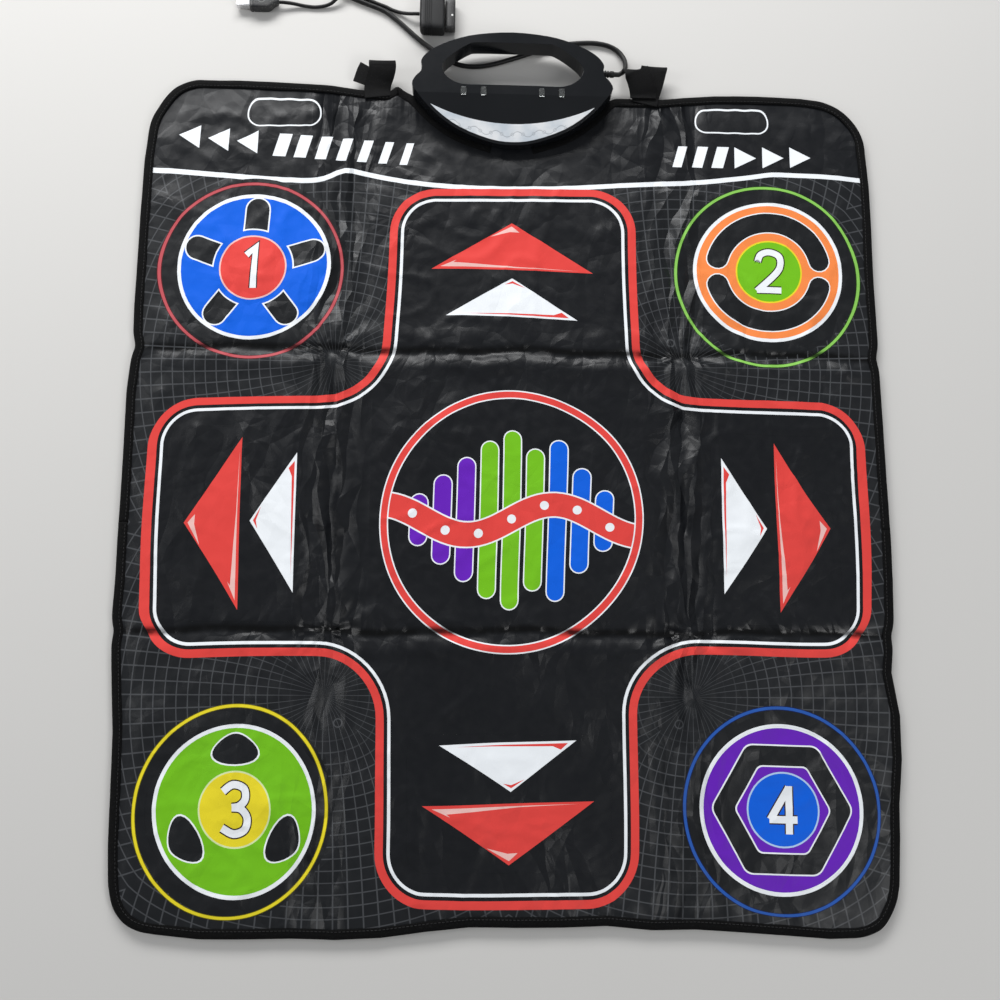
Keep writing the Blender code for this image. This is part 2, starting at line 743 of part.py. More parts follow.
def hollow_out(shell):
    """Room inside the upper shell, with a wall round the hand hole and a boss for each screw."""
    room = inset(whole_outline(BOX_HALF, INSIDE_STEPS), SHELL_WALL)
    core = inset(whole_outline(HOLE_HALF, INSIDE_STEPS), -SHELL_WALL)
    cavity = plate_cutter("shell_room", room, UPPER_Z - 0.004, BOX_TOP - SHELL_WALL - UPPER_Z + 0.004)
    combine(cavity, "DIFFERENCE", slope_cutter("room_slope", SHELL_WALL / math.cos(SLOPE_ANGLE) + CRESCENT_SEAT))
    combine(cavity, "DIFFERENCE", plate_cutter("hole_wall", core, 0.0, 0.05))
    for side in (-1, 1):
        place = (side * SCREW_X, REAR_Y + SCREW_Y)
        boss = round_cutter("boss", (*place, 0), (*place, 0.05), BOSS_RADIUS)
        combine(cavity, "DIFFERENCE", boss)
    combine(shell, "DIFFERENCE", cavity)
    for side in (-1, 1):
        place = (side * SCREW_X, REAR_Y + SCREW_Y)
        bore = round_cutter("boss_bore", (*place, 0), (*place, SCREW_END + GAP), SCREW_SHANK + GAP)
        combine(shell, "DIFFERENCE", bore)


def add_light_tabs(shell):
    """Clear tabs over the indicator lights, let into the top in front of the hand hole."""
    edge = hole_outline[0].y
    size = Vector(TAB_SIZE)
    for number, x in enumerate(TAB_X, 1):
        centre = Vector((x, edge - size.y / 2 - TAB_EDGE, BOX_TOP + TAB_PROUD - size.z / 2))
        seat_size = size + Vector((GAP, GAP, GAP)) * 2
        combine(shell, "DIFFERENCE", box_cutter("tab_seat", centre, seat_size))
        soft_box(f"light_tab_{number}", size, centre, 0.0006, CLEAR, segments=1)


def add_lower_shell():
    edge = inset(box_outline, GAP)
    hole = inset(hole_outline, -GAP)
    shell = solid_plate("lower_shell", [edge, hole], BOX_BOTTOM, LOWER_PLATE, BOX_PLASTIC)
    keel_edge = inset(whole_outline(BOX_HALF, INSIDE_STEPS), KEEL_INSET)
    keel_edge = [p for p in keel_edge if p.y < REAR_Y - KEEL_BACK]
    keel = plate_cutter("keel", keel_edge, KEEL_BOTTOM, BOX_BOTTOM + LOWER_PLATE / 2 - KEEL_BOTTOM)
    combine(shell, "UNION", keel)
    middle = REAR_Y + (POCKET_FRONT + POCKET_BACK) / 2
    pocket_depth = 0.03
    pocket = box_cutter(
        "board_pocket",
        (0, middle, KEEL_BOTTOM + KEEL_FLOOR + pocket_depth / 2),
        (2 * POCKET_HALF, POCKET_BACK - POCKET_FRONT, pocket_depth),
    )
    combine(shell, "DIFFERENCE", pocket)
    slot_low, slot_high = FILM_Z - 0.0004, FILM_Z + CONTACT_FILM + 0.0004
    slot = box_cutter(
        "tail_slot",
        (0, REAR_Y + TAIL_BACK - 0.02, (slot_low + slot_high) / 2),
        (2 * TAIL_HALF + 0.001, 0.042, slot_high - slot_low),
    )
    combine(shell, "DIFFERENCE", slot)
    for side in (-1, 1):
        place = (side * SCREW_X, REAR_Y + SCREW_Y)
        combine(shell, "DIFFERENCE", round_cutter("plate_bore", (*place, 0), (*place, 0.02), SCREW_SHANK + GAP))
    return shell


def add_box_fittings():
    board_z = BOX_BOTTOM + LOWER_PLATE + GAP + BOARD[2] / 2
    soft_box("circuit_board", BOARD, (0, REAR_Y + BOARD_Y, board_z), 0.0004, BOARD_GREEN, segments=1)
    panel = plate("crescent_panel", [crescent_outline()], 0, CRESCENT_THICKNESS, PEARL)
    on_slope(panel, CRESCENT_TIP, CRESCENT_THICKNESS / 2 - CRESCENT_SEAT + GAP)
    head_bottom = BOX_BOTTOM - GAP - SCREW_HEAD_HEIGHT
    profile = (
        (0, SCREW_END),
        (SCREW_SHANK, SCREW_END),
        (SCREW_SHANK, BOX_BOTTOM - GAP),
        (SCREW_HEAD, BOX_BOTTOM - GAP),
        (SCREW_HEAD, head_bottom + 0.0005),
        (SCREW_HEAD - 0.0006, head_bottom),
        (0, head_bottom),
    )
    for side, x in (("left", -SCREW_X), ("right", SCREW_X)):
        screw = turned("box_screw_" + side, profile, STEEL, sides=16)
        screw.location = (x, REAR_Y + SCREW_Y, 0)
    wall = [p.x for p in box_outline if p.x > 0 and abs(p.y - REAR_Y - RELIEF_Y) < RELIEF_FLANGE + 0.001]
    inside = min(wall) - SHELL_WALL - RELIEF_SLACK
    flange = 0.0015
    length = max(wall) + RELIEF_OUT - inside + flange
    profile = (
        (0, length),
        (RELIEF_RADIUS * 0.84, length),
        (RELIEF_RADIUS, length - RELIEF_OUT * 0.8),
        (RELIEF_RADIUS, flange),
        (RELIEF_FLANGE, flange),
        (RELIEF_FLANGE, 0),
        (0, 0),
    )
    relief = turned("strain_relief", profile, CORD_RUBBER)
    relief.rotation_euler.y = math.pi / 2
    relief.location = (inside - flange, REAR_Y + RELIEF_Y, RELIEF_Z)


def strap_path():
    """Side view of a strap as (distance back, height) from its seam: flat, up, and curled over."""
    path = [
        (0.0000, 0.0000),
        (0.0090, 0.0000),
        (0.0200, 0.0032),
        (0.0310, 0.0092),
        (0.0410, 0.0142),
        (0.0480, 0.0152),
        (0.0515, 0.0112),
        (0.0500, 0.0062),
        (0.0450, 0.0047),
    ]
    return smooth(path, 3)


def add_straps():
    for side, (x, turn) in STRAP_PLACES.items():
        middle = strap_path()
        over = inset(middle, STRAP_THICKNESS / 2, closed=False)
        under = inset(middle, -STRAP_THICKNESS / 2, closed=False)
        curve, _ = flat_curve("strap_" + side, [under + over[::-1]], 0, STRAP_WIDTH)
        strap = add_node("strap_" + side, curve, TAPE)
        # The side view stands upright: its first axis becomes +Y and its second +Z.
        strap.rotation_euler = (math.pi / 2, 0, math.pi / 2 + turn)
        strap.location = (x, REAR_Y + STRAP_SEAM, MAT_TOP + GAP + STRAP_THICKNESS / 2)


def coil_points():
    """Two layers of turns: in to the middle, up a layer at the turning point, and out again."""
    low = CORD / 2 + LIE
    turning = COIL_TURNS / 2
    count = round(COIL_TURNS * 24)
    points = []
    for k in range(count + 1):
        turns = k / 24
        radius = COIL_OUTER - COIL_STEP * min(turns, COIL_TURNS - turns)
        climb = min(max((turns - turning + 0.25) / 0.5, 0.0), 1.0)
        rise = COIL_LAYER * climb * climb * (3 - 2 * climb)
        angle = -math.pi / 2 - math.tau * turns
        x = COIL_CENTRE[0] + radius * math.cos(angle)
        y = REAR_Y + COIL_CENTRE[1] + radius * math.sin(angle)
        points.append(Vector((x, y, low + rise)))
    straight = Vector((CORD, 0, 0))
    return [points[0] + straight, *points, points[-1] + straight]


def self_gap(points, diameter):
    """Least gap between stretches of the tube that aren't neighbours along it."""
    nearest = 1.0
    for i, a in enumerate(points):
        for b in points[i + 8 :]:
            nearest = min(nearest, (b - a).length)
    return nearest - diameter


def laid(route, diameter, step):
    """A route's smooth curve, with points this many diameters apart and a straight piece at each end."""
    places = [Vector(route[0]), *evenly(smooth(route[1:-1], 8), diameter * step), Vector(route[-1])]
    return [Vector((p.x, REAR_Y + p.y, p.z)) for p in places]


def add_cord():
    tube("cord_run", laid(CORD_ROUTE, CORD, STEP_IN_DIAMETERS), CORD, CORD_RUBBER, 3)
    turns = coil_points()
    tube("cord_coil", turns, CORD, CORD_RUBBER, 1)
    print("coil's least gap to itself, mm:", round(self_gap(turns, CORD) * 1000, 3))
    tube("cord_tail", laid(TAIL_ROUTE, CORD, 2.0), CORD, CORD_RUBBER, 3)
    tube("lead_a", laid(LEAD_A_ROUTE, LEAD, 2.2), LEAD, CORD_RUBBER, 2)
    tube("lead_b", laid(LEAD_B_ROUTE, LEAD, 2.2), LEAD, CORD_RUBBER, 2)
    x, y, z = SPLITTER_CENTRE
    soft_box("cord_splitter", SPLITTER, (x, REAR_Y + y, z), 0.0025, CORD_RUBBER)


def add_plugs():
    x, y = PLUG_A_CENTRE[0], REAR_Y + PLUG_A_CENTRE[1]
    soft_box("plug_a_body", PLUG_A, (x, y, LIE + PLUG_A[2] / 2), 0.002, BOX_PLASTIC)
    nose_x = x + PLUG_A[0] / 2 + GAP + PLUG_A_NOSE[0] / 2
    nose_z = PLUG_A_NOSE_BOTTOM + PLUG_A_NOSE[2] / 2
    soft_box("plug_a_nose", PLUG_A_NOSE, (nose_x, y, nose_z), 0.001, BOX_PLASTIC)
    x, y = PLUG_B_CENTRE[0], REAR_Y + PLUG_B_CENTRE[1]
    middle_z = LIE + PLUG_B[2] / 2
    soft_box("plug_b_body", PLUG_B, (x, y, middle_z), 0.002, BOX_PLASTIC)
    sleeve_x = x - PLUG_B[0] / 2 - GAP - PLUG_B_SLEEVE[0] / 2
    soft_box("plug_b_sleeve", PLUG_B_SLEEVE, (sleeve_x, y, middle_z), 0.0006, STEEL, segments=1)


def hinge(name, y, z, parent=None):
    """An empty on a fold's axis."""
    empty = bpy.data.objects.new(name, None)
    mat_collection.objects.link(empty)
    empty.location = (0, y, z)
    bpy.context.view_layer.update()
    if parent:
        hang(empty, parent)
    return empty


def hang(node, parent):
    node.parent = parent
    node.matrix_parent_inverse = parent.matrix_world.inverted()
    bpy.context.view_layer.update()


def hang_rows():
    """The middle row folds up over the head row, and the foot row over the middle one."""
    rear_fold = hinge("rear_fold", REAR_CREASE, MAT_TOP + REAR_AXIS_LIFT)
    front_fold = hinge("front_fold", FRONT_CREASE, MAT_TOP + FRONT_AXIS_LIFT, rear_fold)
    row_of = {name: zone[0] for name, zone in {**ARROWS, **BADGES, **BARS}.items()}
    for node in list(mat_collection.objects):
        start, _, rest = node.name.partition("_")
        row = row_of.get(rest) if start in ("step", "contact") else start
        if row == "middle":
            hang(node, rear_fold)
        elif row == "foot":
            hang(node, front_fold)


add_rows()
add_press_zones()
add_binding()
add_upper_shell()
add_lower_shell()
add_box_fittings()
add_straps()
add_cord()
add_plugs()
hang_rows()
print("pieces:", sum(node.type != "EMPTY" for node in mat_collection.objects))
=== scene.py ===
# %% [markdown]
# # A soft dance mat controller
#
# The mat is a padded nylon sheet with a printed pattern, bound round its edge with tape. A black plastic
# control box sits over a notch in its rear edge, and a cord runs from the box to two plugs. The packed CAD
# model comes first: it says where each piece is and how it moves. What is made below either gives a CAD piece
# its finish, or replaces a soft one by a more detailed piece in the same place.

# %% Load the packed model
import math

import bmesh
import bpy
import numpy as np
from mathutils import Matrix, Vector, kdtree, noise
from mathutils.geometry import delaunay_2d_cdt


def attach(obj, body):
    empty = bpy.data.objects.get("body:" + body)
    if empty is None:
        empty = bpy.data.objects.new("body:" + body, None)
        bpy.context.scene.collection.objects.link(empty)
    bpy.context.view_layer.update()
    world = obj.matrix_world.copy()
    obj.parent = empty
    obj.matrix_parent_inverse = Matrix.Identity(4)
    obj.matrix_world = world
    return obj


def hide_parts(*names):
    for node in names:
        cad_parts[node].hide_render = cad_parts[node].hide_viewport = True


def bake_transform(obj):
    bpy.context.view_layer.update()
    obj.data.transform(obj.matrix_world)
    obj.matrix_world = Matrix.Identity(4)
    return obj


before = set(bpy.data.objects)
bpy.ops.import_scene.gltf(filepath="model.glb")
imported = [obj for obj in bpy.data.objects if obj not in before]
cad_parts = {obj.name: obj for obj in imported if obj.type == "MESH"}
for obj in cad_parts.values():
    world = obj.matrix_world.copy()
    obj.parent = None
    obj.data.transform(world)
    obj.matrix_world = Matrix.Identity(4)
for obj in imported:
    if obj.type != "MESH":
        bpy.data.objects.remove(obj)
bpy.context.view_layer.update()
scene = bpy.context.scene
scene.view_settings.view_transform = "Standard"

# %% [markdown]
# Everything is measured from a few shared sizes, in metres. The mat lies between FRONT_Y and REAR_Y, its
# printed pattern is centred on PRINT_Y, and two sewn creases divide it into three rows that fold.

# %% Shared sizes
MAT_WIDTH = 0.820
MAT_DEPTH = 0.925
MAT_CORNER = 0.055
MIDDLE_Y = -0.03175
REAR_Y = MIDDLE_Y + MAT_DEPTH / 2
FRONT_Y = MIDDLE_Y - MAT_DEPTH / 2
PRINT_Y = MIDDLE_Y - 0.0405
REAR_CREASE = PRINT_Y + 0.1947
FRONT_CREASE = PRINT_Y - 0.1137
CREASES = (REAR_CREASE, FRONT_CREASE)
ROW_SPLIT = PRINT_Y  # the cover is made in two halves that meet here
LIP_TOP = 0.0080
TENTH = 0.0001  # long tables of points are written in tenths of a millimetre
print("mat from y", round(FRONT_Y, 4), "to", round(REAR_Y, 4), "creases:", [round(y, 4) for y in CREASES])

# %% [markdown]
# ## The camera
#
# A photograph fixes the camera completely once the size of one flat thing in it is known. Here the outline of
# the mat was enough: the camera stands 1.18 m above the floor, almost straight over the mat, tipped a little
# towards the control box. A longer lens further away would flatten the slight narrowing towards the rear.

# %% Camera
camera = bpy.data.objects.new("camera", bpy.data.cameras.new("camera"))
camera.data.lens = 39.6
camera.data.sensor_width = 36.0
camera.data.clip_start = 0.01
camera.location = (-0.0594, -0.24785, 1.1761)
camera.rotation_euler = [math.radians(a) for a in (9.89, -2.42, 0.30)]
scene.collection.objects.link(camera)
scene.camera = camera
print("camera at", tuple(camera.location))

# %% [markdown]
# ## Small helpers
#
# Outlines are lists of flat points. Four helpers make nearly all of them: a smooth curve through points, the
# same curve with even spacing, a path moved sideways, and a rounded corner.

# %% Paths and outlines
def smooth(points, steps, closed=False):
    """Points along a Catmull-Rom curve through the given ones."""
    points = [Vector(p) for p in points]
    count = len(points)
    found = []
    for i in range(count if closed else count - 1):
        if closed:
            a, b, c, d = (points[(i + k) % count] for k in (-1, 0, 1, 2))
        else:
            a, b, c, d = (points[min(max(i + k, 0), count - 1)] for k in (-1, 0, 1, 2))
        for step in range(steps):
            t = step / steps
            bend = (2 * a - 5 * b + 4 * c - d) * t**2 + (3 * b - a - 3 * c + d) * t**3
            found.append(0.5 * (2 * b + (c - a) * t + bend))
    return found if closed else found + [points[-1]]


def evenly(points, spacing, closed=False):
    """The same path with points about this far apart."""
    path = points + [points[0]] if closed else points
    lengths = [0.0]
    for a, b in zip(path, path[1:]):
        lengths.append(lengths[-1] + (b - a).length)
    count = max(2, round(lengths[-1] / spacing))
    found = []
    place = 0
    for i in range(count + (not closed)):
        target = lengths[-1] * i / count
        while place < len(path) - 2 and lengths[place + 1] < target:
            place += 1
        span = max(lengths[place + 1] - lengths[place], 1e-9)
        found.append(path[place].lerp(path[place + 1], (target - lengths[place]) / span))
    return found


def inset(points, distance, closed=True):
    """The path moved to its left by this distance, corner by corner."""
    count = len(points)
    found = []
    for i, point in enumerate(points):
        if closed or 0 < i < count - 1:
            before = (point - points[i - 1]).normalized()
            after = (points[(i + 1) % count] - point).normalized()
        elif i == 0:
            before = after = (points[1] - point).normalized()
        else:
            before = after = (point - points[i - 1]).normalized()
        side = (before + after).normalized()
        scale = 1 / max(side.dot(before), 0.5)
        found.append(point + Vector((-side.y, side.x)) * distance * scale)
    return found


def turned(vector, angle):
    c, s = math.cos(angle), math.sin(angle)
    return Vector((vector.x * c - vector.y * s, vector.x * s + vector.y * c))


print("points along a bend:", len(evenly([Vector(p) for p in ((0, 0), (1, 0), (1, 1))], 0.1)))

# %% Corners and circles
def corner_arc(before, corner, after, radius, steps=8):
    """The arc that rounds one corner of a path."""
    before, corner, after = Vector(before), Vector(corner), Vector(after)
    into = (before - corner).normalized()
    out = (after - corner).normalized()
    half = into.angle(out) / 2
    centre = corner + (into + out).normalized() * radius / math.sin(half)
    start = corner + into * radius / math.tan(half) - centre
    end = corner + out * radius / math.tan(half) - centre
    turn = start.angle_signed(end)
    return [centre + turned(start, -turn * k / steps) for k in range(steps + 1)]


def rounded(corners, radii, steps=8):
    """A closed outline with its corners rounded, each by its own radius."""
    count = len(corners)
    radii = radii if isinstance(radii, (list, tuple)) else [radii] * count
    found = []
    for i in range(count):
        found += corner_arc(corners[i - 1], corners[i], corners[(i + 1) % count], radii[i], steps)
    return found


def circle(radius, steps=72):
    angles = [math.tau * k / steps for k in range(steps)]
    return [Vector((radius * math.cos(a), radius * math.sin(a))) for a in angles]


def moved(outline, x, y, angle=0.0):
    return [turned(Vector(p), angle) + Vector((x, y)) for p in outline]


def ease(value, low, high):
    """0 below low, 1 above high, and smooth between."""
    t = min(max((value - low) / (high - low), 0.0), 1.0)
    return t * t * (3 - 2 * t)


print("a rounded square has", len(rounded([(0, 0), (1, 0), (1, 1), (0, 1)], 0.1)), "points")

# %% [markdown]
# ## Nodes and shared effects
#
# A material is a small graph of nodes. `put` adds one node, and `feed` sets its inputs or links them to other
# nodes. A `Value` is what a node gives out: `a * b + c` adds the two Math nodes that this takes, so a graph
# can be written as a few plain lines. An effect that several materials use is a node group with named
# sockets, made once by `shared_effect` and then `placed` in each of them with its own numbers.

# %% Values that change over a surface
class Value:
    """A number, colour or place that changes over a surface. Sums and products of it add Math nodes."""

    def __init__(self, socket):
        self.socket, self.tree = socket, socket.id_data

    def math(self, operation, *others):
        return Value(put(self.tree, "Math", dict(enumerate((self, *others))), operation=operation).outputs[0])

    def __add__(self, other):
        return self.math("ADD", other)

    def __sub__(self, other):
        return self.math("SUBTRACT", other)

    def __mul__(self, other):
        return self.math("MULTIPLY", other)

    def __truediv__(self, other):
        return self.math("DIVIDE", other)

    def __abs__(self):
        return self.math("ABSOLUTE")

    def between(self, low, high, to_low=0.0, to_high=1.0):
        """The value stretched from one range to another, and held inside it."""
        inputs = {"Value": self, "From Min": low, "From Max": high, "To Min": to_low, "To Max": to_high}
        return Value(put(self.tree, "MapRange", inputs).outputs["Result"])


def feed(inputs, values):
    """Sets inputs to plain values, or links them to changing ones. Colours may leave out their alpha."""
    for key, value in values.items():
        socket = inputs[key.replace("_", " ") if isinstance(key, str) else key]
        if isinstance(value, Value):
            value.tree.links.new(value.socket, socket)
        else:
            socket.default_value = (*value, 1.0)[:4] if socket.type == "RGBA" else value


def put(tree, kind, inputs, **settings):
    """A node with its settings and its inputs."""
    made = tree.nodes.new("ShaderNode" + kind)
    for key, value in settings.items():
        setattr(made, key, value)
    feed(made.inputs, inputs)
    return made


print("a value can do:", [name for name in vars(Value) if callable(getattr(Value, name))])

# %% Textures and mixes
def split(where):
    """The X, Y and Z of a place."""
    return [Value(output) for output in put(where.tree, "SeparateXYZ", {0: where}).outputs]


def scaled(where, factors):
    return Value(put(where.tree, "VectorMath", {0: where, 1: factors}, operation="MULTIPLY").outputs[0])


def far_from(across, along, x, y):
    """The flat distance from one point."""
    spot = Value(put(across.tree, "CombineXYZ", {0: across, 1: along}).outputs[0])
    far = put(across.tree, "VectorMath", {0: spot, 1: (x, y, 0.0)}, operation="DISTANCE")
    return Value(far.outputs["Value"])


def mixed(amount, first, second):
    """The first colour where the amount is 0, the second where it is 1."""
    return Value(put(amount.tree, "Mix", {0: amount, 6: first, 7: second}, data_type="RGBA").outputs[2])


def clouds(where, scale, detail=3.0):
    """Soft noise with this many waves to a metre."""
    return Value(put(where.tree, "TexNoise", {"Vector": where, "Scale": scale, "Detail": detail}).outputs[0])


def cells(where, scale, inputs=None, **settings):
    """Distances inside cells, this many to a metre."""
    inputs = {"Vector": where, "Scale": scale, **(inputs or {})}
    return Value(put(where.tree, "TexVoronoi", inputs, **settings).outputs["Distance"])


def threads(where, scale, distortion=0.0):
    """Even waves across X, and even waves across Y."""
    inputs = {"Vector": where, "Scale": scale, "Distortion": distortion}
    return [Value(put(where.tree, "TexWave", inputs, bands_direction=axis).outputs[1]) for axis in "XY"]


print("helpers: split, scaled, far_from, mixed, clouds, cells, threads")

# %% Effects and materials
def shared_effect(name, inputs, outputs):
    """An empty node group with named sockets: its tree, its inputs, and where its outputs are fed."""
    tree = bpy.data.node_groups.new(name, "ShaderNodeTree")
    for direction, sockets in (("INPUT", inputs), ("OUTPUT", dict.fromkeys(outputs))):
        for label, value in sockets.items():
            kind = "NodeSocket" + (label if label in ("Vector", "Color") else "Float")
            socket = tree.interface.new_socket(label, in_out=direction, socket_type=kind)
            if value is not None:
                socket.default_value = value
    inside = {socket.name: Value(socket) for socket in tree.nodes.new("NodeGroupInput").outputs}
    return tree, inside, tree.nodes.new("NodeGroupOutput").inputs


def placed(effect, **values):
    """An effect placed in the graph that its Vector comes from: its outputs by name."""
    made = put(values["Vector"].tree, "Group", values, node_tree=effect)
    return {socket.name: Value(socket) for socket in made.outputs}


def linear(code):
    """The linear colour of a screen colour written as six hexadecimal digits."""
    parts = [int(code[i : i + 2], 16) / 255 for i in (0, 2, 4)]
    return tuple(p / 12.92 if p <= 0.04045 else ((p + 0.055) / 1.055) ** 2.4 for p in parts)


def new_material(name, roughness=0.5, **sockets):
    """A material, the inputs of its Principled shader, and the coordinates of the piece in metres."""
    material = bpy.data.materials.new(name)
    material.use_nodes = True
    shader = material.node_tree.nodes["Principled BSDF"].inputs
    feed(shader, {"Roughness": roughness, **sockets})
    return material, shader, Value(put(material.node_tree, "TexCoord", {}).outputs["Object"])


def dress(shader, height, relief, **values):
    """Feeds a shader, and raises the surface by a height times this relief in metres."""
    raised = put(height.tree, "Bump", {"Height": height, "Distance": relief, "Strength": 1.0})
    feed(shader, {"Normal": Value(raised.outputs["Normal"]), **values})


def finish_of(effect, name, roughness, relief, values, **sockets):
    """A material that takes its colour, its heights and any change of gloss from one effect."""
    material, shader, where = new_material(name, roughness, **sockets)
    made = placed(effect, Vector=where, **values)
    dress(shader, made.pop("Height"), relief, Base_Color=made.pop("Color"), **made)
    return material


print("white is", linear("FFFFFF"))

# %% [markdown]
# A piece made in code starts as a list of points and a list of faces. Most are rings of points joined by a
# skin, so one helper makes the faces and another one the object.

# %% Pieces from points and faces
def skin(rings, count, first=0):
    """Faces that join rings of this many points, and close both ends."""
    last = first + (rings - 1) * count
    faces = []
    for ring in range(first, last, count):
        for k in range(count):
            n = (k + 1) % count
            faces.append((ring + k, ring + n, ring + count + n, ring + count + k))
    return faces + [tuple(range(first, first + count))[::-1], tuple(range(last, last + count))]


def new_piece(name, points, faces, *materials, outwards=True):
    """A smooth mesh object in the scene, its faces turned outwards."""
    mesh = bpy.data.meshes.new(name)
    mesh.from_pydata(points, [], faces)
    for material in materials:
        mesh.materials.append(material)
    mesh.shade_smooth()
    if outwards:
        shape = bmesh.new()
        shape.from_mesh(mesh)
        bmesh.ops.recalc_face_normals(shape, faces=shape.faces)
        shape.to_mesh(mesh)
        shape.free()
    made = bpy.data.objects.new(name, mesh)
    scene.collection.objects.link(made)
    return made


print("a ring of eight joined to another has", len(skin(2, 8)), "faces")

# %% [markdown]
# ## Floor and light
#
# A plain pale floor and one large soft lamp from behind the box stand in for a bright room. The world gives
# the rest of the light from all round. Together they come to a level at which a colour looks as it is
# written. A single hard lamp would draw every crinkle of the nylon with a black edge.

# %% Floor and light
floor_finish, _, _ = new_material("floor_finish", 0.85, Base_Color=(0.66, 0.65, 0.63))
floor_corners = [(-4, -4, 0), (4, -4, 0), (4, 4, 0), (-4, 4, 0)]
new_piece("floor", floor_corners, [(0, 1, 2, 3)], floor_finish, outwards=False)

scene.world = bpy.data.worlds.new("room")
scene.world.use_nodes = True
feed(scene.world.node_tree.nodes["Background"].inputs, {"Color": (0.93, 0.96, 1.0), "Strength": 0.26})


def soft_lamp(name, place, size, power):
    """A rectangular lamp that faces the middle of the mat."""
    lamp = bpy.data.objects.new(name, bpy.data.lights.new(name, "AREA"))
    lamp.data.shape = "RECTANGLE"
    lamp.data.size, lamp.data.size_y = size
    lamp.data.energy = power
    lamp.location = place
    lamp.rotation_euler = (-Vector(place)).to_track_quat("-Z", "Y").to_euler()
    scene.collection.objects.link(lamp)


soft_lamp("window", (-0.50, 2.05, 1.20), (2.4, 0.7), 66)
soft_lamp("ceiling", (1.7, -1.3, 1.9), (1.0, 1.0), 18)
soft_lamp("side", (-2.3, 0.1, 1.15), (0.7, 1.8), 14)

# %% [markdown]
# ## The cord
#
# One cord leaves the right end of the box, passes behind it, runs off to the left and is wound into a coil of
# seven and a half turns behind the view. It ends in a moulded splitter, from which two thinner leads go to
# the two plugs. A curve with a round bevel is the simplest tube, and its smooth spline follows the CAD route.

# %% Cord routes
CORD = 0.0055
LEAD = 0.0040
CORD_ROUTE = (
    (1174, 230, 180), (1229, 230, 180), (1295, 295, 148), (1322, 405, 95), (1308, 520, 48), (1240, 625, 29.5),
    (1115, 690, 29.5), (950, 715, 29.5), (770, 705, 29.5), (600, 680, 29.5), (425, 635, 29.5),
    (260, 577, 29.5), (97, 515, 29.5), (-78, 453, 29.5), (-252, 399, 29.5), (-420, 373, 29.5),
    (-578, 382, 29.5), (-725, 437, 29.5), (-893, 550, 29.5), (-1058, 675, 29.5), (-1212, 817, 29.5),
    (-1354, 947, 29.5),
    (-1496, 1051, 29.5), (-1661, 1119, 29.5), (-1826, 1183, 29.5), (-2020, 1273, 29.5), (-2250, 1347, 29.5),
    (-2420, 1370, 29.5), (-2562, 1375, 29.5), (-2622, 1375, 29.5),
)
TAIL_ROUTE = (
    (-2622, 2245, 89), (-2562, 2245, 89), (-2380, 2218, 76), (-2160, 2135, 56), (-1980, 1990, 48),
    (-1893, 1880, 48), (-1880, 1805, 48), (-1880, 1748, 48),
)
LEAD_A_ROUTE = (
    (-1843, 1442, 48), (-1843, 1402, 48), (-1840, 1330, 30), (-1815, 1264, 22), (-1775, 1230, 22),
    (-1715, 1205, 22), (-1641, 1175, 22), (-1560, 1141, 22), (-1465, 1104, 22), (-1400, 1069, 22),
    (-1300, 1033, 30), (-1205, 1005, 58), (-1130, 993, 80), (-1078, 993, 80),
)
LEAD_B_ROUTE = (
    (-1917, 1442, 48), (-1917, 1402, 48), (-1937, 1335, 78), (-1975, 1260, 87), (-2030, 1185, 68),
    (-2126, 1110, 36), (-2276, 1077, 22), (-2420, 1085, 24), (-2550, 1098, 44), (-2660, 1100, 60),
    (-2707, 1100, 60),
)
COIL_CENTRE = (-0.2680, REAR_Y + 0.1810)
COIL_OUTER = 0.0435
COIL_STEP = 0.0061
COIL_TURNS = 7.5
COIL_LAYER = 0.00595


print("points of the routes:", [len(route) for route in (CORD_ROUTE, TAIL_ROUTE, LEAD_A_ROUTE, LEAD_B_ROUTE)])

# %% Whole cord
def laid(route, step):
    """A route's smooth curve, from the middle of the rear edge, with a straight piece at each end."""
    route = [Vector([part * TENTH for part in place]) for place in route]
    places = [route[0], *evenly(smooth(route[1:-1], 8), step), route[-1]]
    return [Vector((p.x, REAR_Y + p.y, p.z)) for p in places]


def coil_points():
    """Two layers of turns: in to the middle, up a layer, and out again."""
    points = []
    for k in range(round(COIL_TURNS * 36) + 1):
        turns = k / 36
        radius = COIL_OUTER - COIL_STEP * min(turns, COIL_TURNS - turns)
        rise = COIL_LAYER * ease(turns, COIL_TURNS / 2 - 0.25, COIL_TURNS / 2 + 0.25)
        angle = -math.pi / 2 - math.tau * turns
        x = COIL_CENTRE[0] + radius * math.cos(angle)
        y = COIL_CENTRE[1] + radius * math.sin(angle)
        points.append(Vector((x, y, CORD / 2 + 0.0002 + rise)))
    return points


def length_of(points):
    return sum((b - a).length for a, b in zip(points, points[1:]))


whole_cord = laid(CORD_ROUTE, 0.006) + coil_points() + laid(TAIL_ROUTE, 0.006)
lead_a_points = laid(LEAD_A_ROUTE, 0.004)
lead_b_points = laid(LEAD_B_ROUTE, 0.004)
print("lengths:", [round(length_of(points), 3) for points in (whole_cord, lead_a_points, lead_b_points)])

# %% [markdown]
# The cord's sleeve is black rubber. Real sleeves are satin, pick up pale dust, and show fine marks round them
# where they were drawn through the machine, so the finish has a little of all three.

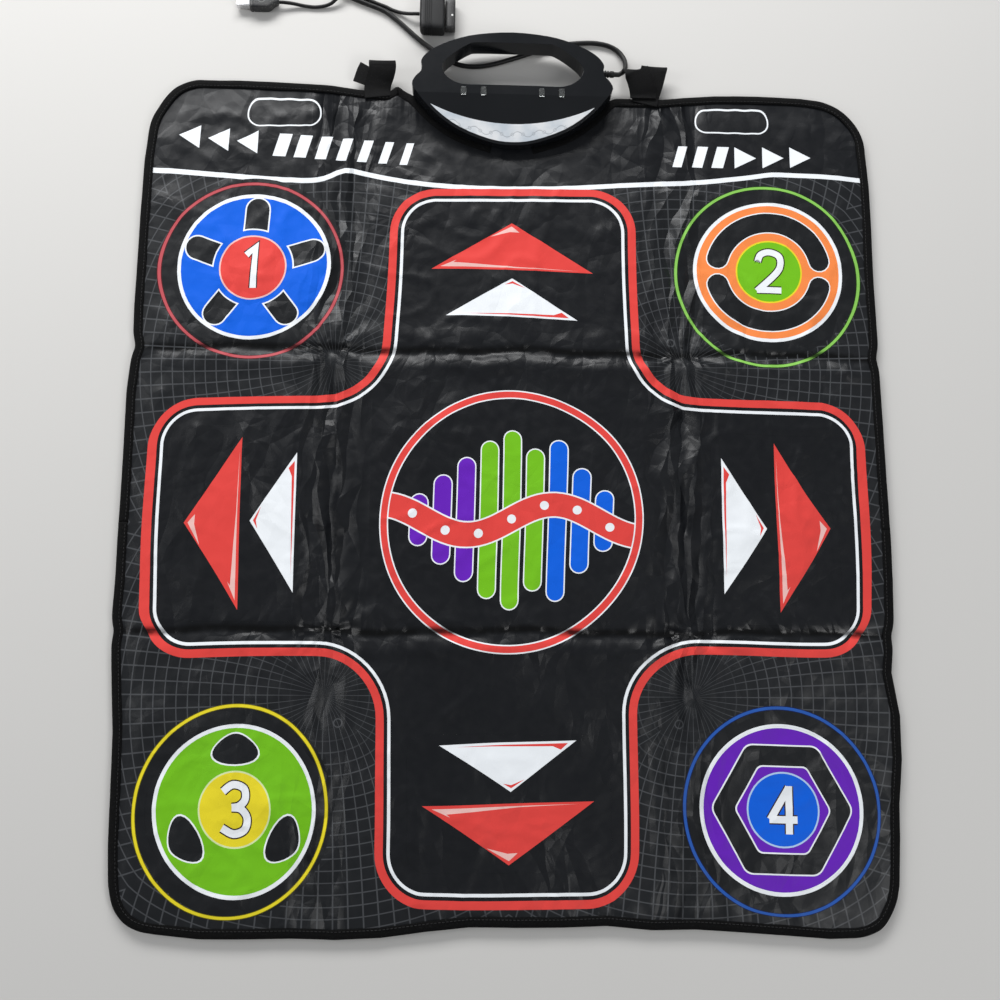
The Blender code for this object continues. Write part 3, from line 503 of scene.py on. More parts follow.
# %% Rubber
moulded, inside, outside = shared_effect(
    "moulded surface",
    {"Vector": None, "Color": (0.0, 0.0, 0.0, 1.0), "Grain": 1700.0, "Dust": 0.3, "Roughness": 0.5},
    ["Color", "Roughness", "Height"],
)
cloud = clouds(inside["Vector"], 38.0, 5.0)
patches = cloud.between(0.48, 0.68)
specks = clouds(inside["Vector"], 620.0, 2.0).between(0.60, 0.66)
dust = (patches * 0.16 + specks) * inside["Dust"]
feed(outside, {
    "Color": mixed(dust, inside["Color"], (0.32, 0.31, 0.29)),
    "Roughness": inside["Roughness"] + patches * 0.12 + specks * 0.2,
    "Height": clouds(inside["Vector"], inside["Grain"]) + cloud * 1.4,
})


def moulded_finish(name, colour, roughness, dust, grain=1700.0, relief=0.00004, **sockets):
    values = {"Color": colour, "Grain": grain, "Dust": dust, "Roughness": roughness}
    return finish_of(moulded, name, roughness, relief, values, **sockets)


cord_rubber = moulded_finish(
    "cord_rubber", (0.006, 0.006, 0.0065), 0.42, 0.06, grain=1400.0, relief=0.00006, Specular_IOR_Level=0.28
)
plug_plastic = moulded_finish("plug_plastic", (0.007, 0.0075, 0.0085), 0.40, 0.05, Specular_IOR_Level=0.26)
print("finishes:", cord_rubber.name, plug_plastic.name)

# %% [markdown]
# The small pieces on the cords are moulded: a strain relief with rings that let it bend, a splitter where the
# cord divides, a wide plug with rounded edges, grip lines and an open mouth, and a small plug whose metal
# sleeve is open too. Each is a row of rounded outlines along one axis, joined by a skin. An outline with a
# high power is nearly a rectangle, and one with a power of 2 is an ellipse. At an open mouth the outlines
# turn back inside.

# %% Skins along an axis
def lofted(name, axis, middle, sections, material, node, steps):
    """A skin over outlines (place, half width, half height, power) along an axis, in tenths of a mm."""
    points = []
    for s, wide, high, power in sections:
        for k in range(steps):
            c, d = math.cos(math.tau * k / steps), math.sin(math.tau * k / steps)
            u = middle[0] + wide * math.copysign(abs(c) ** (2 / power), c)
            v = middle[1] + high * math.copysign(abs(d) ** (2 / power), d)
            x, y = (s, u) if axis == "X" else (u, s)
            points.append((x * TENTH, REAR_Y + y * TENTH, v * TENTH))
    made = new_piece(name, points, skin(len(sections), steps), material)
    made.modifiers.new("crisp edges", "EDGE_SPLIT").split_angle = math.radians(48)
    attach(made, "head_row")
    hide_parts(node)
    print(name, "has", len(points), "points")
    return made


relief_rings = [(980, 55), (992, 55), (993, 42), (1050, 43)]
for k in range(3):
    x, radius = 1054 + 30 * k, 42 - 2 * k
    relief_rings += [(x, radius - 8), (x + 10, radius - 8), (x + 13, radius), (x + 26, radius)]
relief_rings += [(1150, 37), (1166, 36), (1171.6, 33)]
relief = lofted(
    "cord_strain_relief", "X", (230, 180), [(x, r, r, 2) for x, r in relief_rings],
    cord_rubber, "strain_relief", 36,
)
splitter = lofted(
    "cord_divider", "Y", (-1880, 48),
    ((1447, 50, 30, 3), (1460, 64, 40, 4), (1490, 69, 44, 4), (1540, 67, 43, 4), (1543, 62, 39, 4),
     (1551, 62, 39, 4), (1554, 65, 43, 4), (1566, 62, 39, 4), (1574, 62, 39, 4), (1577, 64, 43, 4),
     (1660, 56, 43, 3), (1715, 44, 39, 2), (1743, 36, 33, 2)),
    cord_rubber, "cord_splitter", 48,
)

# %% [markdown]
# The wide plug has a pale dot on its nose and the small one a pale ring round a dark spot. Both are part of
# the finish. The ring and the spot are a painted highlight on the rim and painted shade inside a round recess
# that the small plug's body doesn't have. The small plug's sleeve is bare metal, whose fine grain also varies
# its gloss.

# %% Round marks and brushed metal
def marked(material, x, y, inner, outer, colour):
    """Adds a round mark, seen from above, between two distances from its middle."""
    shader = material.node_tree.nodes["Principled BSDF"].inputs
    across, along, _ = split(Value(put(material.node_tree, "TexCoord", {}).outputs["Object"]))
    far = far_from(across, along, x, y)
    ring = far.between(inner - 0.0002, inner) * far.between(outer, outer + 0.0002, 1.0, 0.0)
    feed(shader, {"Base Color": mixed(ring, Value(shader["Base Color"].links[0].from_socket), colour)})


def brushed_metal(name, scale, light, dark, smooth_part, rough_part, relief):
    material, shader, where = new_material(name, smooth_part, Metallic=1.0)
    fine = clouds(where, scale)
    gloss = fine.between(0.3, 0.7, smooth_part, rough_part)
    dress(shader, fine, relief, Base_Color=mixed(fine, light, dark), Roughness=gloss)
    return material


print("materials so far:", len(bpy.data.materials))

# %% Plugs
nose_plastic = moulded_finish("plug_nose", (0.010, 0.010, 0.011), 0.36, 0.2)
marked(nose_plastic, -0.0698, 0.5276, 0.0, 0.0011, (0.78, 0.78, 0.76))
small_plastic = moulded_finish("small_plug", (0.011, 0.012, 0.013), 0.38, 0.3)
# Painted highlight and painted shade: a pale ring for the lit rim and a dark spot for the shaded inside of a
# round recess.
marked(small_plastic, -0.2905, REAR_Y + 0.1100, 0.0036, 0.0043, (0.12, 0.12, 0.12))
marked(small_plastic, -0.2905, REAR_Y + 0.1100, 0.0, 0.0030, (0.002, 0.002, 0.002))
sleeve_metal = brushed_metal(
    "sleeve_steel", 1100.0, (0.80, 0.80, 0.81), (0.62, 0.62, 0.64), 0.20, 0.38, 0.00002,
)

body_steps = [(-1073, 180, 52, 4), (-1068, 205, 72, 6), (-1050, 222, 83, 8), (-1030, 229, 88.5, 9)]
for k in range(4):
    x = -1010 + 22 * k
    body_steps += [(x, 230, 88.5, 9), (x + 3, 226, 83, 9), (x + 9, 226, 83, 9), (x + 12, 230, 88.5, 9)]
body_steps += [(-812, 230, 88.5, 9), (-795, 224, 84, 8), (-786, 212, 74, 7)]
NOSE_STEPS = (
    (-781, 184, 42, 8), (-776, 190, 47, 9), (-668, 190, 47, 9), (-663, 186, 43, 9), (-664, 172, 30, 9),
    (-735, 170, 29, 9),
)
SMALL_STEPS = (
    (-2711, 30, 28, 2), (-2718, 40, 36, 2.5), (-2745, 46, 42, 3), (-2775, 66, 50, 4), (-2805, 92, 55, 6),
    (-2830, 103, 57.5, 7), (-2990, 105, 57.5, 8), (-2993, 101, 53, 8), (-3001, 101, 53, 8),
    (-3004, 105, 57.5, 8), (-3032, 104, 56, 8), (-3040, 97, 50, 8),
)
SLEEVE_STEPS = (
    (-3043, 74, 34, 14), (-3046, 75, 35, 16), (-3190, 75, 35, 16), (-3193, 74, 34, 16), (-3192, 70, 30, 16),
    (-3070, 70, 30, 16),
)
plug_a = [
    lofted("wide_plug_body", "X", (985, 90.5), body_steps, plug_plastic, "plug_a_body", 72),
    lofted("wide_plug_nose", "X", (985, 67.5), NOSE_STEPS, nose_plastic, "plug_a_nose", 72),
]
plug_b = [
    lofted("small_plug_body", "X", (1100, 59.5), SMALL_STEPS, small_plastic,
           "plug_b_body", 64),
    lofted("small_plug_sleeve", "X", (1100, 59.5), SLEEVE_STEPS, sleeve_metal, "plug_b_sleeve", 64),
]
print("plugs:", [piece.name for piece in plug_a + plug_b])

# %% Cord and leads
def tube(name, points, diameter, *nodes):
    curve = bpy.data.curves.new(name, "CURVE")
    curve.dimensions = "3D"
    curve.bevel_depth = diameter / 2
    curve.bevel_resolution = 4
    curve.use_fill_caps = True
    spline = curve.splines.new("POLY")
    spline.points.add(len(points) - 1)
    for point, place in zip(spline.points, points):
        point.co = (*place, 1)
    spline.use_smooth = True
    curve.materials.append(cord_rubber)
    made = bpy.data.objects.new(name, curve)
    scene.collection.objects.link(made)
    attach(made, "head_row")
    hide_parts(*nodes)
    return made


tube("cord", whole_cord, CORD, "cord_run", "cord_coil", "cord_tail")
round(length_of(whole_cord), 3)
for letter, points, plug in (("a", lead_a_points, plug_a), ("b", lead_b_points, plug_b)):
    tube("plug_lead_" + letter, points, LEAD, "lead_" + letter)
    round(length_of(points), 3)

# %% [markdown]
# ## The mat's outline
#
# The mat is a rectangle with round corners and a notch in its rear edge, which the control box stands in. The
# outline follows the CAD one. Real cloth never lies quite straight, so `settled` moves every flat point of
# the mat by a millimetre or two, the same way for all its sheets, print and tape.

# %% Mat outline
BOX_HALF = (
    (0.000, -0.0680), (0.026, -0.0650), (0.061, -0.0525), (0.088, -0.0345), (0.107, -0.0145),
    (0.1140, -0.0030), (0.1100, 0.0065), (0.1045, 0.0125), (0.1032, 0.0190), (0.1040, 0.0260),
    (0.098, 0.0350), (0.086, 0.0438), (0.066, 0.0530), (0.040, 0.0600), (0.000, 0.0635),
)
NOTCH_INSET = 0.0040
NOTCH_MOUTH = 0.018
BINDING_STOP = 0.022


def mirrored(half):
    """A full outline from a half outline given front to back at +X."""
    half = [Vector(p) for p in half]
    return half + [Vector((-p.x, p.y)) for p in reversed(half[1:-1])]


def flipped(path):
    return [Vector((-p.x, p.y)) for p in reversed(path)]


box_outline = moved(smooth(mirrored(BOX_HALF), 3, closed=True), 0, REAR_Y)


def rear_edge(start_y, stop):
    """Half the mat's edge at +X: up its side, round the corner and into the notch as far as x = stop."""
    right = MAT_WIDTH / 2
    notch = [p for p in inset(box_outline, NOTCH_INSET) if p.x > stop and p.y < REAR_Y - 0.013]
    notch.sort(key=lambda p: -p.x)
    top, below = notch[0], notch[1]
    mouth = top + (top - below) * (REAR_Y - top.y) / (top.y - below.y)
    path = [Vector((right, start_y))]
    path += corner_arc((right, 0), (right, REAR_Y), (0, REAR_Y), MAT_CORNER, 16)
    path += corner_arc((right - MAT_CORNER, REAR_Y), mouth, top, NOTCH_MOUTH, 8)
    path += notch
    slope = (notch[-2].y - notch[-1].y) / (notch[-2].x - notch[-1].x)
    path.append(Vector((stop, notch[-1].y - slope * (notch[-1].x - stop))))
    return path


def front_edge(start_y):
    """The front of the mat's edge, from its left side round both corners to its right side."""
    right = MAT_WIDTH / 2
    path = [Vector((-right, start_y))]
    path += corner_arc((-right, 0), (-right, FRONT_Y), (0, FRONT_Y), MAT_CORNER, 16)
    path += corner_arc((0, FRONT_Y), (right, FRONT_Y), (right, 0), MAT_CORNER, 16)
    return path + [Vector((right, start_y))]


print("notch in the rear edge: half of it has", len(rear_edge(ROW_SPLIT, 0.0)), "points with its side")

# %% How the edge really lies
rear_half = rear_edge(ROW_SPLIT, 0.0)
mat_edge = evenly(rear_half + flipped(rear_half)[1:] + front_edge(ROW_SPLIT)[1:-1], 0.004, closed=True)
BOX_MIDDLE = Vector((0.0, REAR_Y))
WANDER = 0.0024


def hump(x, y):
    """How much of the small hump left of the box is at this place: the edge was never pulled flat there."""
    return math.exp(-(((x + 0.1315) / 0.0075) ** 2)) * math.exp(-(((REAR_Y - y) / 0.020) ** 2))


# How far each edge lies outwards of the straight one, in millimetres, at places along it: the cloth was
# pulled out of true when it was sewn, and the binding tape shortened it in places.
EDGE_BOWS = {
    "rear": ((-410, 6), (-360, 10.5), (-310, 10.5), (-240, 7.2), (-205, 5.5), (-175, 2.2), (-150, 0),
             (170, 0), (200, 3.6), (235, 6.4), (285, 7), (337, 5.8), (372, 2.3), (410, 0)),
    "front": ((-410, -6), (-360, -6), (-310, -1.2), (-220, 0), (-175, 1.8), (-130, -1), (-84, -7.2),
              (-40, -11.2), (10, -10.5), (54, -11.2), (100, -13), (146, -8.5), (190, -8.5), (240, -5),
              (285, -2), (331, 1.8), (410, 0)),
    "left": ((-490, -6), (-450, -8), (-405, -5.5), (-360, -4), (-290, -1), (-225, 5), (-180, 8.5),
             (-130, 6.2), (-50, 5), (70, 6), (122, 2.4), (170, 4), (300, 3.6), (340, 4), (390, 1), (430, 0)),
    "right": ((-490, -4), (-450, -5.5), (-405, -3), (-360, -1), (-315, 4.8), (-270, 5.8), (-225, -1),
              (-180, 3.8), (-80, 5.2), (-30, 5.2), (70, 3.4), (200, 3), (330, 3.3), (390, 1), (430, 0)),
}


def bowed(side, place, inwards):
    """How far a point lies outwards, which fades away within 30 mm of its edge."""
    places, amounts = zip(*EDGE_BOWS[side])
    return float(np.interp(place * 1000, places, amounts)) / 1000 * (1 - ease(inwards, 0.006, 0.030))


def settled(p):
    """A flat point of the mat where the real cloth lies."""
    calm = ease((p - BOX_MIDDLE).length, 0.12, 0.22)
    x = p.x + WANDER * calm * noise.noise((p.x * 7.5, p.y * 7.5, 1.7))
    y = p.y + WANDER * calm * noise.noise((p.x * 7.5, p.y * 7.5, 9.2))
    for crease in CREASES:
        pinch = math.exp(-(((p.y - crease) / 0.010) ** 2)) * ease(abs(p.x), 0.34, 0.41)
        x -= math.copysign(0.0025, p.x) * pinch
    x += bowed("right", p.y, 0.41 - p.x) - bowed("left", p.y, p.x + 0.41)
    y += bowed("rear", p.x, REAR_Y - p.y) - bowed("front", p.x, p.y - FRONT_Y)
    return Vector((x, y + 0.0062 * hump(p.x, p.y)))


print("edge points:", len(mat_edge), "round", round(length_of(mat_edge), 2), "m")

# %% [markdown]
# ## The printed pattern
#
# The pattern could be one picture on the cloth, but then its edges blur when seen from near. Here it is part
# of the mesh: every printed shape is an outline, the cloth is triangulated along all of them, and each
# triangle takes the ink of the last shape that was laid over it, as in screen printing.
#
# A cross with a red border and a thin white line inside it holds an arrow on each of its four arms. A pad
# with its own colour stands in each corner, and a round emblem in the middle. The badges hold plain shapes
# and the numbers 1 to 4, and the emblem is made of level bars and a ribbon.

# %% Inks and simple shapes
printed = []  # (outline, ink), in the order they are printed


def lay(outline, ink, x=0.0, y=0.0, angle=0.0):
    """Prints one shape, placed from the middle of the pattern."""
    printed.append((moved(outline, x, PRINT_Y + y, angle), ink))


def lay_edged(shape, grow, ink, *place):
    """Prints a shape on the same one in white, grown by this much."""
    lay(shape(grow), "white", *place)
    lay(shape(0.0), ink, *place)


def band(path, half_width, closed=False):
    """A stripe along a path, with square ends."""
    left = inset(path, half_width, closed)
    right = inset(path, -half_width, closed)
    return left + right[::-1]


def pill(length, width, steps=10):
    """A bar with round ends, along X."""
    r, reach = width / 2, length / 2 - width / 2
    angles = [math.pi * (k / steps - 0.5) for k in range(steps + 1)]
    right = [Vector((reach + r * math.cos(a), r * math.sin(a))) for a in angles]
    return right + [-p for p in right]


def arc(radius, start, end, steps):
    return [Vector((math.cos(a), math.sin(a))) * radius for a in np.linspace(start, end, steps)]


def ring_arc(radius, half_width, start, end, steps=28):
    """A curved bar with round ends, from one angle to another."""
    out, back = arc(radius + half_width, start, end, steps), arc(radius - half_width, end, start, steps)
    caps = []
    for angle, first in ((end, end), (start, start + math.pi)):
        middle = Vector((math.cos(angle), math.sin(angle))) * radius
        caps.append([middle + p for p in arc(half_width, first, first + math.pi, 9)[1:-1]])
    return out + caps[0] + back + caps[1]


print("a pill has", len(pill(0.1, 0.02)), "points")

# %% Cross and wavy line
CROSS_REACH = 0.3885
CROSS_ARM = 0.1405
CROSS_OUTER_CORNER = 0.052
CROSS_INNER_CORNER = 0.062


def cross(inward):
    """The cross outline, drawn in by this much."""
    r, a = CROSS_REACH - inward, CROSS_ARM - inward
    corners = [(a, -r), (a, -a), (r, -a), (r, a), (a, a), (a, r)]
    corners += [(-x, -y) for x, y in corners]
    outer, inner = CROSS_OUTER_CORNER - inward, CROSS_INNER_CORNER + inward
    return rounded(corners, [outer, inner, outer] * 4, 14)


LINE_PATH = (
    (-0.42, 0.3975), (-0.35, 0.3968), (-0.29, 0.3958), (-0.24, 0.3952), (-0.216, 0.3982), (-0.193, 0.4080),
    (-0.166, 0.4040), (-0.126, 0.3969), (-0.070, 0.3911), (-0.013, 0.3889), (0.055, 0.3895), (0.124, 0.3937),
    (0.193, 0.3991), (0.2626, 0.4083), (0.2918, 0.4125), (0.321, 0.4120), (0.3675, 0.4110), (0.42, 0.4090),
)
line = smooth(LINE_PATH, 3)
lay([Vector((-0.45, -0.45)), Vector((0.45, -0.45))] + line[::-1], "grid")
lay(band(line, 0.0028), "white")
for inward, ink in ((0.0, "red"), (0.0085, "black"), (0.0122, "white"), (0.0155, "black")):
    lay(cross(inward), ink)
print("shapes so far:", len(printed))

# %% Arrows
ARROW_SHAPES = (
    ("red", ((-0.0930, 0.2895), (0.0930, 0.2865), (0.0000, 0.3465))),
    ("pink", ((-0.0830, 0.2925), (0.0780, 0.2888), (0.0100, 0.2915), (-0.0680, 0.2975), (-0.0640, 0.3005))),
    ("pink", ((-0.0250, 0.3300), (0.0000, 0.3425), (0.0090, 0.3350), (-0.0020, 0.3355))),
    ("white", ((-0.0745, 0.2305), (0.0745, 0.2275), (0.0005, 0.2770))),
    ("red", (
        (-0.0560, 0.2328), (0.0040, 0.2312), (0.0650, 0.2300), (0.0570, 0.2365), (0.0480, 0.2330),
        (0.0020, 0.2330),
    )),
    ("red", ((-0.0080, 0.2690), (0.0010, 0.2735), (0.0160, 0.2650), (0.0010, 0.2705))),
)
for turn, mirror in ((0, 1), (1, 1), (2, -1), (3, -1)):
    for ink, corners in ARROW_SHAPES:
        shape = [Vector((x * mirror, y)) for x, y in corners]
        lay(shape, ink, angle=turn * math.pi / 2)
print("shapes with the arrows:", len(printed))

# %% [markdown]
# The four corner pads share a ring, a white rim, a coloured disc and a centre with a number. What stands on
# the disc is different in each: spokes, two curved bars, petals and a six-sided channel.

# %% Parts of the corner pads
BADGE_X = 0.2855
BADGE_Y = 0.2933
BADGE_RADIUS = 0.084
TWO = ((-0.27, 0.25), (-0.20, 0.43), (0.00, 0.50), (0.22, 0.41), (0.27, 0.20), (0.16, -0.04), (-0.29, -0.49))
DIGITS = {
    "1": (((-0.16, 0.30), (0.04, 0.50), (0.04, -0.50)),),
    "2": (smooth(TWO, 5), ((-0.29, -0.46), (0.29, -0.46))),
    "3": (
        smooth(((-0.25, 0.36), (-0.04, 0.50), (0.20, 0.42), (0.23, 0.20), (0.10, 0.06), (-0.06, 0.03)), 5),
        smooth(((-0.06, 0.03), (0.14, 0.0), (0.27, -0.18), (0.22, -0.41), (-0.02, -0.50), (-0.27, -0.38)), 5),
    ),
    "4": (((0.12, -0.50), (0.12, 0.50)), ((0.12, 0.47), (-0.29, -0.20)), ((-0.31, -0.20), (0.30, -0.20))),
}


def lay_digit(digit, height, stroke, x, y):
    """A plain number in strokes, with a thin dark edge."""
    for width, ink in ((stroke + 0.0026, "ink_edge"), (stroke, "white")):
        for path in DIGITS[digit]:
            path = [Vector(p) * height for p in path]
            lay(band(path, width / 2), ink, x, y)


def spoke(half_width, inner, outer):
    """A bar from the centre disc outwards: hollow at its inner end and round at its outer end."""
    cap = [p + Vector((0, outer)) for p in arc(half_width, 0, math.pi, 13)]
    reach = math.asin(half_width / inner)
    return cap + arc(inner, math.pi / 2 + reach, math.pi / 2 - reach, 9)


def petal(radius, length, width):
    """A rounded leaf whose narrow end points outwards."""
    ring = circle(1.0, steps=26)
    return [Vector((width * p.y * (1 - 0.35 * p.x), radius + length * p.x)) for p in ring]


def lay_pad(x, y, disc):
    lay(circle(0.1020), "plain", x, y)
    lay(circle(BADGE_RADIUS), "white", x, y)
    lay(circle(0.0800), disc, x, y)


def lay_centre(x, y, centre, rim, digit):
    lay(circle(0.0372, steps=48), rim, x, y)
    lay(circle(0.0355, steps=48), centre, x, y)
    lay_digit(digit, 0.047, 0.0072, x, y)


print("numbers:", sorted(DIGITS))

# %% Corner pads
x, y = -BADGE_X, BADGE_Y
lay_pad(x, y, "blue")
for k in range(5):
    angle = math.tau * k / 5
    lay_edged(lambda grow: spoke(0.0125 + grow, 0.0450 - grow, 0.0665), 0.0016, "plain", x, y, angle)
lay_centre(x, y, "red", "pink", "1")

x, y = BADGE_X, BADGE_Y
lay_pad(x, y, "orange")
for start in (math.radians(15), math.radians(195)):
    end = start + math.radians(150)
    lay_edged(lambda grow: ring_arc(0.0590, 0.0115 + grow, start, end), 0.0013, "plain", x, y)
lay_centre(x, y, "green", "yellow", "2")

x, y = -BADGE_X, -BADGE_Y
lay_pad(x, y, "green")
for k in range(3):
    angle = math.radians(120 * k)
    lay_edged(lambda grow: petal(0.0588, 0.0155 + grow, 0.0225 + grow), 0.0016, "plain", x, y, angle)
lay_centre(x, y, "yellow", "pale_green", "3")

x, y = BADGE_X, -BADGE_Y
lay_pad(x, y, "purple")
for radius, ink in ((0.0735, "white"), (0.0718, "plain"), (0.0497, "white"), (0.0480, "purple")):
    corners = [(radius * math.cos(a), radius * math.sin(a)) for a in (math.radians(60 * k) for k in range(6))]
    lay(rounded(corners, radius * 0.16, 5), ink, x, y)
lay_centre(x, y, "blue", "pale_blue", "4")
print("shapes with the corner pads:", len(printed))

# %% [markdown]
# The emblem in the middle is a red ring round nine level bars, like those of a music player, in purple, green
# and blue, with a wavy red ribbon over them. Plain slanted marks stand in front of the two small pads at the
# rear edge.

# %% Emblem
EMBLEM = (0.0035, 0.0010)
EMBLEM_RADIUS = 0.1405


def hoop(outer, inner):
    """A ring as one outline: round its outer side, across, and back round its inner side."""
    return outer + [outer[0], inner[0]] + inner[:0:-1] + [inner[0]]


lay(circle(EMBLEM_RADIUS - 0.0050, steps=120), "black", *EMBLEM)
LEVELS = (0.052, 0.091, 0.128, 0.164, 0.188, 0.150, 0.171, 0.112, 0.065)
for k, level in enumerate(LEVELS):
    ink = ("purple", "green", "blue")[k // 3]
    x = EMBLEM[0] + (k - 4) * 0.0246
    lay_edged(lambda grow: pill(level + grow, 0.0178 + grow), 0.0026, ink, x, EMBLEM[1], math.pi / 2)
wave = [Vector((x, 0.0165 * math.sin(x * 34))) for x in np.linspace(-0.1350, 0.1350, 50)]
lay_edged(lambda grow: band(wave, 0.0125 + grow), 0.0016, "red", *EMBLEM)
for k in range(-3, 4):
    x = 0.0350 * k
    lay(circle(0.0048, steps=20), "white", EMBLEM[0] + x, EMBLEM[1] + 0.0165 * math.sin(x * 34))
for outer, inner, ink in ((0.0, 0.0098, "white"), (0.0014, 0.0084, "red")):
    lay(hoop(*(circle(EMBLEM_RADIUS - edge, steps=120) for edge in (outer, inner))), ink, *EMBLEM)

print("shapes with the emblem:", len(printed))

# %% Marks by the rear pads
BAR_X = 0.257
BAR_Y = REAR_Y - 0.0305 - PRINT_Y


def slanted(width, height, slant):
    right = [Vector((width / 2 - slant, -height / 2)), Vector((width / 2 + slant, height / 2))]
    return right + [-p for p in right]


MARK_HEIGHT = 0.026
for k in range(3):
    tip = [Vector(p) for p in ((-0.013, 0), (0.011, -MARK_HEIGHT / 2), (0.011, MARK_HEIGHT / 2))]
    lay(tip, "white", -0.3690 + 0.0330 * k, 0.4385 - 0.0008 * k)
    lay([-p for p in tip], "white", 0.262 + 0.031 * k, 0.4330 + 0.0008 * k)
for k in range(7):
    lay(slanted(0.0145 - 0.0010 * k, MARK_HEIGHT, 0.0035), "white", -0.2640 + 0.0231 * k, 0.4352 - 0.0008 * k)
for k in range(3):
    mark = slanted(0.0130 - 0.0015 * (2 - k), MARK_HEIGHT, 0.0035)
    lay(mark, "white", 0.190 + 0.0225 * k, 0.4318 + 0.0006 * k)
print("shapes in all:", len(printed), "inks:", sorted({ink for _, ink in printed}))

# %% [markdown]
# On a real mat the print is never quite where the drawing has it: soft cloth is stretched on the press, and
# lies in waves afterwards. Its offsets were measured against the drawing, in tenths of a millimetre, and are
# kept as a coarse lattice of control values. Smooth weights between them move every outline. The four rings
# and the two outlines of the rear pads come after that, at the places and sizes measured for each.

# %% How far the print lies from the drawing
SHIFT_AREA = (-0.42, 0.42, -0.50, 0.44)
SHIFT_X = (
    (242, 212, 174, 112, 14, -90, -163, -174, -129, -63, 2),
    (164, 149, 133, 96, 22, -35, -136, -114, -49, -25, -21),
    (90, 92, 87, 44, 25, 31, -86, -27, 16, -12, -42),
    (26, 38, 42, 27, 53, 10, -90, -21, 10, -28, -46),
    (-15, -4, 32, 0, -42, -50, -69, -13, -6, -28, -25),
    (-12, -23, 14, 13, -40, -39, -10, 30, 36, 33, -1),
    (34, 27, -29, -45, -24, -3, 32, 48, 40, -3, -21),
    (52, 24, -30, -40, 20, 6, 13, 42, 61, 10, -33),
    (48, 9, -24, -27, 58, -10, -27, 54, 96, 43, -16),
    (51, 42, 32, 36, 83, 6, -35, 56, 114, 78, 27),
    (64, 71, 77, 81, 78, 37, 15, 54, 93, 94, 77),
    (82, 100, 110, 105, 85, 69, 60, 60, 75, 99, 124),
)
SHIFT_Y = (
    (-83, -100, -108, -105, -96, -86, -61, -66, -96, -128, -156),
    (-74, -80, -80, -76, -47, -87, -28, -33, -70, -82, -77),
    (-72, -49, -27, -39, 4, -34, -21, -10, -27, -20, 3),
    (-84, -26, 30, 9, -8, 34, 38, 33, 23, 52, 71),
    (-114, -54, -22, -7, -30, 42, 82, 53, 12, 69, 99),
    (-160, -50, 53, 56, 39, 68, 67, 4, -19, 33, 71),
    (-185, -104, 9, 21, 73, 109, 83, 26, 46, 23, 14),
    (-142, -112, -61, -36, 68, 113, 84, 27, 38, -2, -35),
    (-37, -51, -76, -85, -7, -5, -4, -11, 9, -25, -64),
    (86, 52, -17, -87, -52, -23, 0, -4, 4, -37, -80),
    (195, 136, 62, -6, -16, 2, 13, 0, -23, -56, -90),
    (291, 212, 139, 79, 40, 23, 12, -8, -39, -70, -99),
)


print("control values:", len(SHIFT_X) * len(SHIFT_X[0]), "in each direction")

# %% Print moved to its place
def spline_weights(u, count):
    """The first of four neighbouring control values, and the weight of each."""
    i = min(max(math.floor(u), 0), count - 4)
    f = u - i
    middle = (3 * f**3 - 6 * f**2 + 4) / 6, (-3 * f**3 + 3 * f**2 + 3 * f + 1) / 6
    return i, ((1 - f) ** 3 / 6, *middle, f**3 / 6)


def registered(p):
    """Where a drawn point of the pattern was really printed."""
    left, right, front, rear = SHIFT_AREA
    columns, rows = len(SHIFT_X[0]), len(SHIFT_X)
    i, across = spline_weights((p.x - left) / (right - left) * (columns - 3), columns)
    j, along = spline_weights((p.y - front) / (rear - front) * (rows - 3), rows)
    pairs = [(a, b) for a in range(4) for b in range(4)]
    tables = (SHIFT_X, SHIFT_Y)
    shifts = [sum(along[b] * across[a] * table[j + b][i + a] for a, b in pairs) for table in tables]
    return Vector((p.x + shifts[0] * TENTH, p.y + shifts[1] * TENTH))


def divided(path, spacing, closed=True):
    """The same path with its corners kept and its long stretches divided."""
    found = []
    for a, b in zip(path, path[1:] + path[:1] if closed else path[1:]):
        count = max(1, math.ceil((b - a).length / spacing - 0.01))
        found += [a.lerp(b, k / count) for k in range(count)]
    return found if closed else found + [path[-1]]


for k, (outline, ink) in enumerate(printed[1:], 1):
    printed[k] = ([registered(p) for p in divided(outline, 0.008)], ink)
RINGS = (
    (-0.2888, 0.2844, 0.0993, 0.1009, "rose"), (0.2894, 0.2896, 0.1035, 0.1060, "light_green"),
    (-0.2835, -0.2956, 0.0973, 0.1053, "yellow"), (0.2841, -0.2956, 0.1019, 0.1050, "deep_blue"),
)


def oval(across, along):
    return [Vector((p.x * across, p.y * along)) for p in circle(1.0, steps=110)]


for x, y, across, along, ink in RINGS:
    for half, shade in ((0.0022, ink + "_edge"), (0.0015, ink)):
        lay(hoop(oval(across + half, along + half), oval(across - half, along - half)), shade, x, y)
BARS = ((-0.2583, 0.4712, 0.0843, 0.0305), (0.2552, 0.4750, 0.0860, 0.0262))
for x, y, width, height in BARS:
    for grow, ink in ((0.0, "white"), (-0.0017, "black")):
        w, h = width / 2 + grow, height / 2 + grow
        outline = divided(rounded([(-w, -h), (w, -h), (w, h), (-w, h)], h * 0.92), 0.004)
        lay([Vector((p.x, p.y + 0.0006 * noise.noise((p.x * 90, x, 0.0)))) for p in outline], ink, x, y)
printed[0] = ([p if abs(p.x) > 0.44 else registered(p) for p in printed[0][0]], "grid")
print("shapes moved:", len(printed))

# %% [markdown]
# ## One triangulated cloth
#
# All the outlines go into one triangulation, together with the borders of the ten pads that sink when they
# are stepped on and the creases. Between them stands an even grid of points, closer at the creases, so that
# the cloth can carry wrinkles. Points of the grid that would crowd an outline are left out.

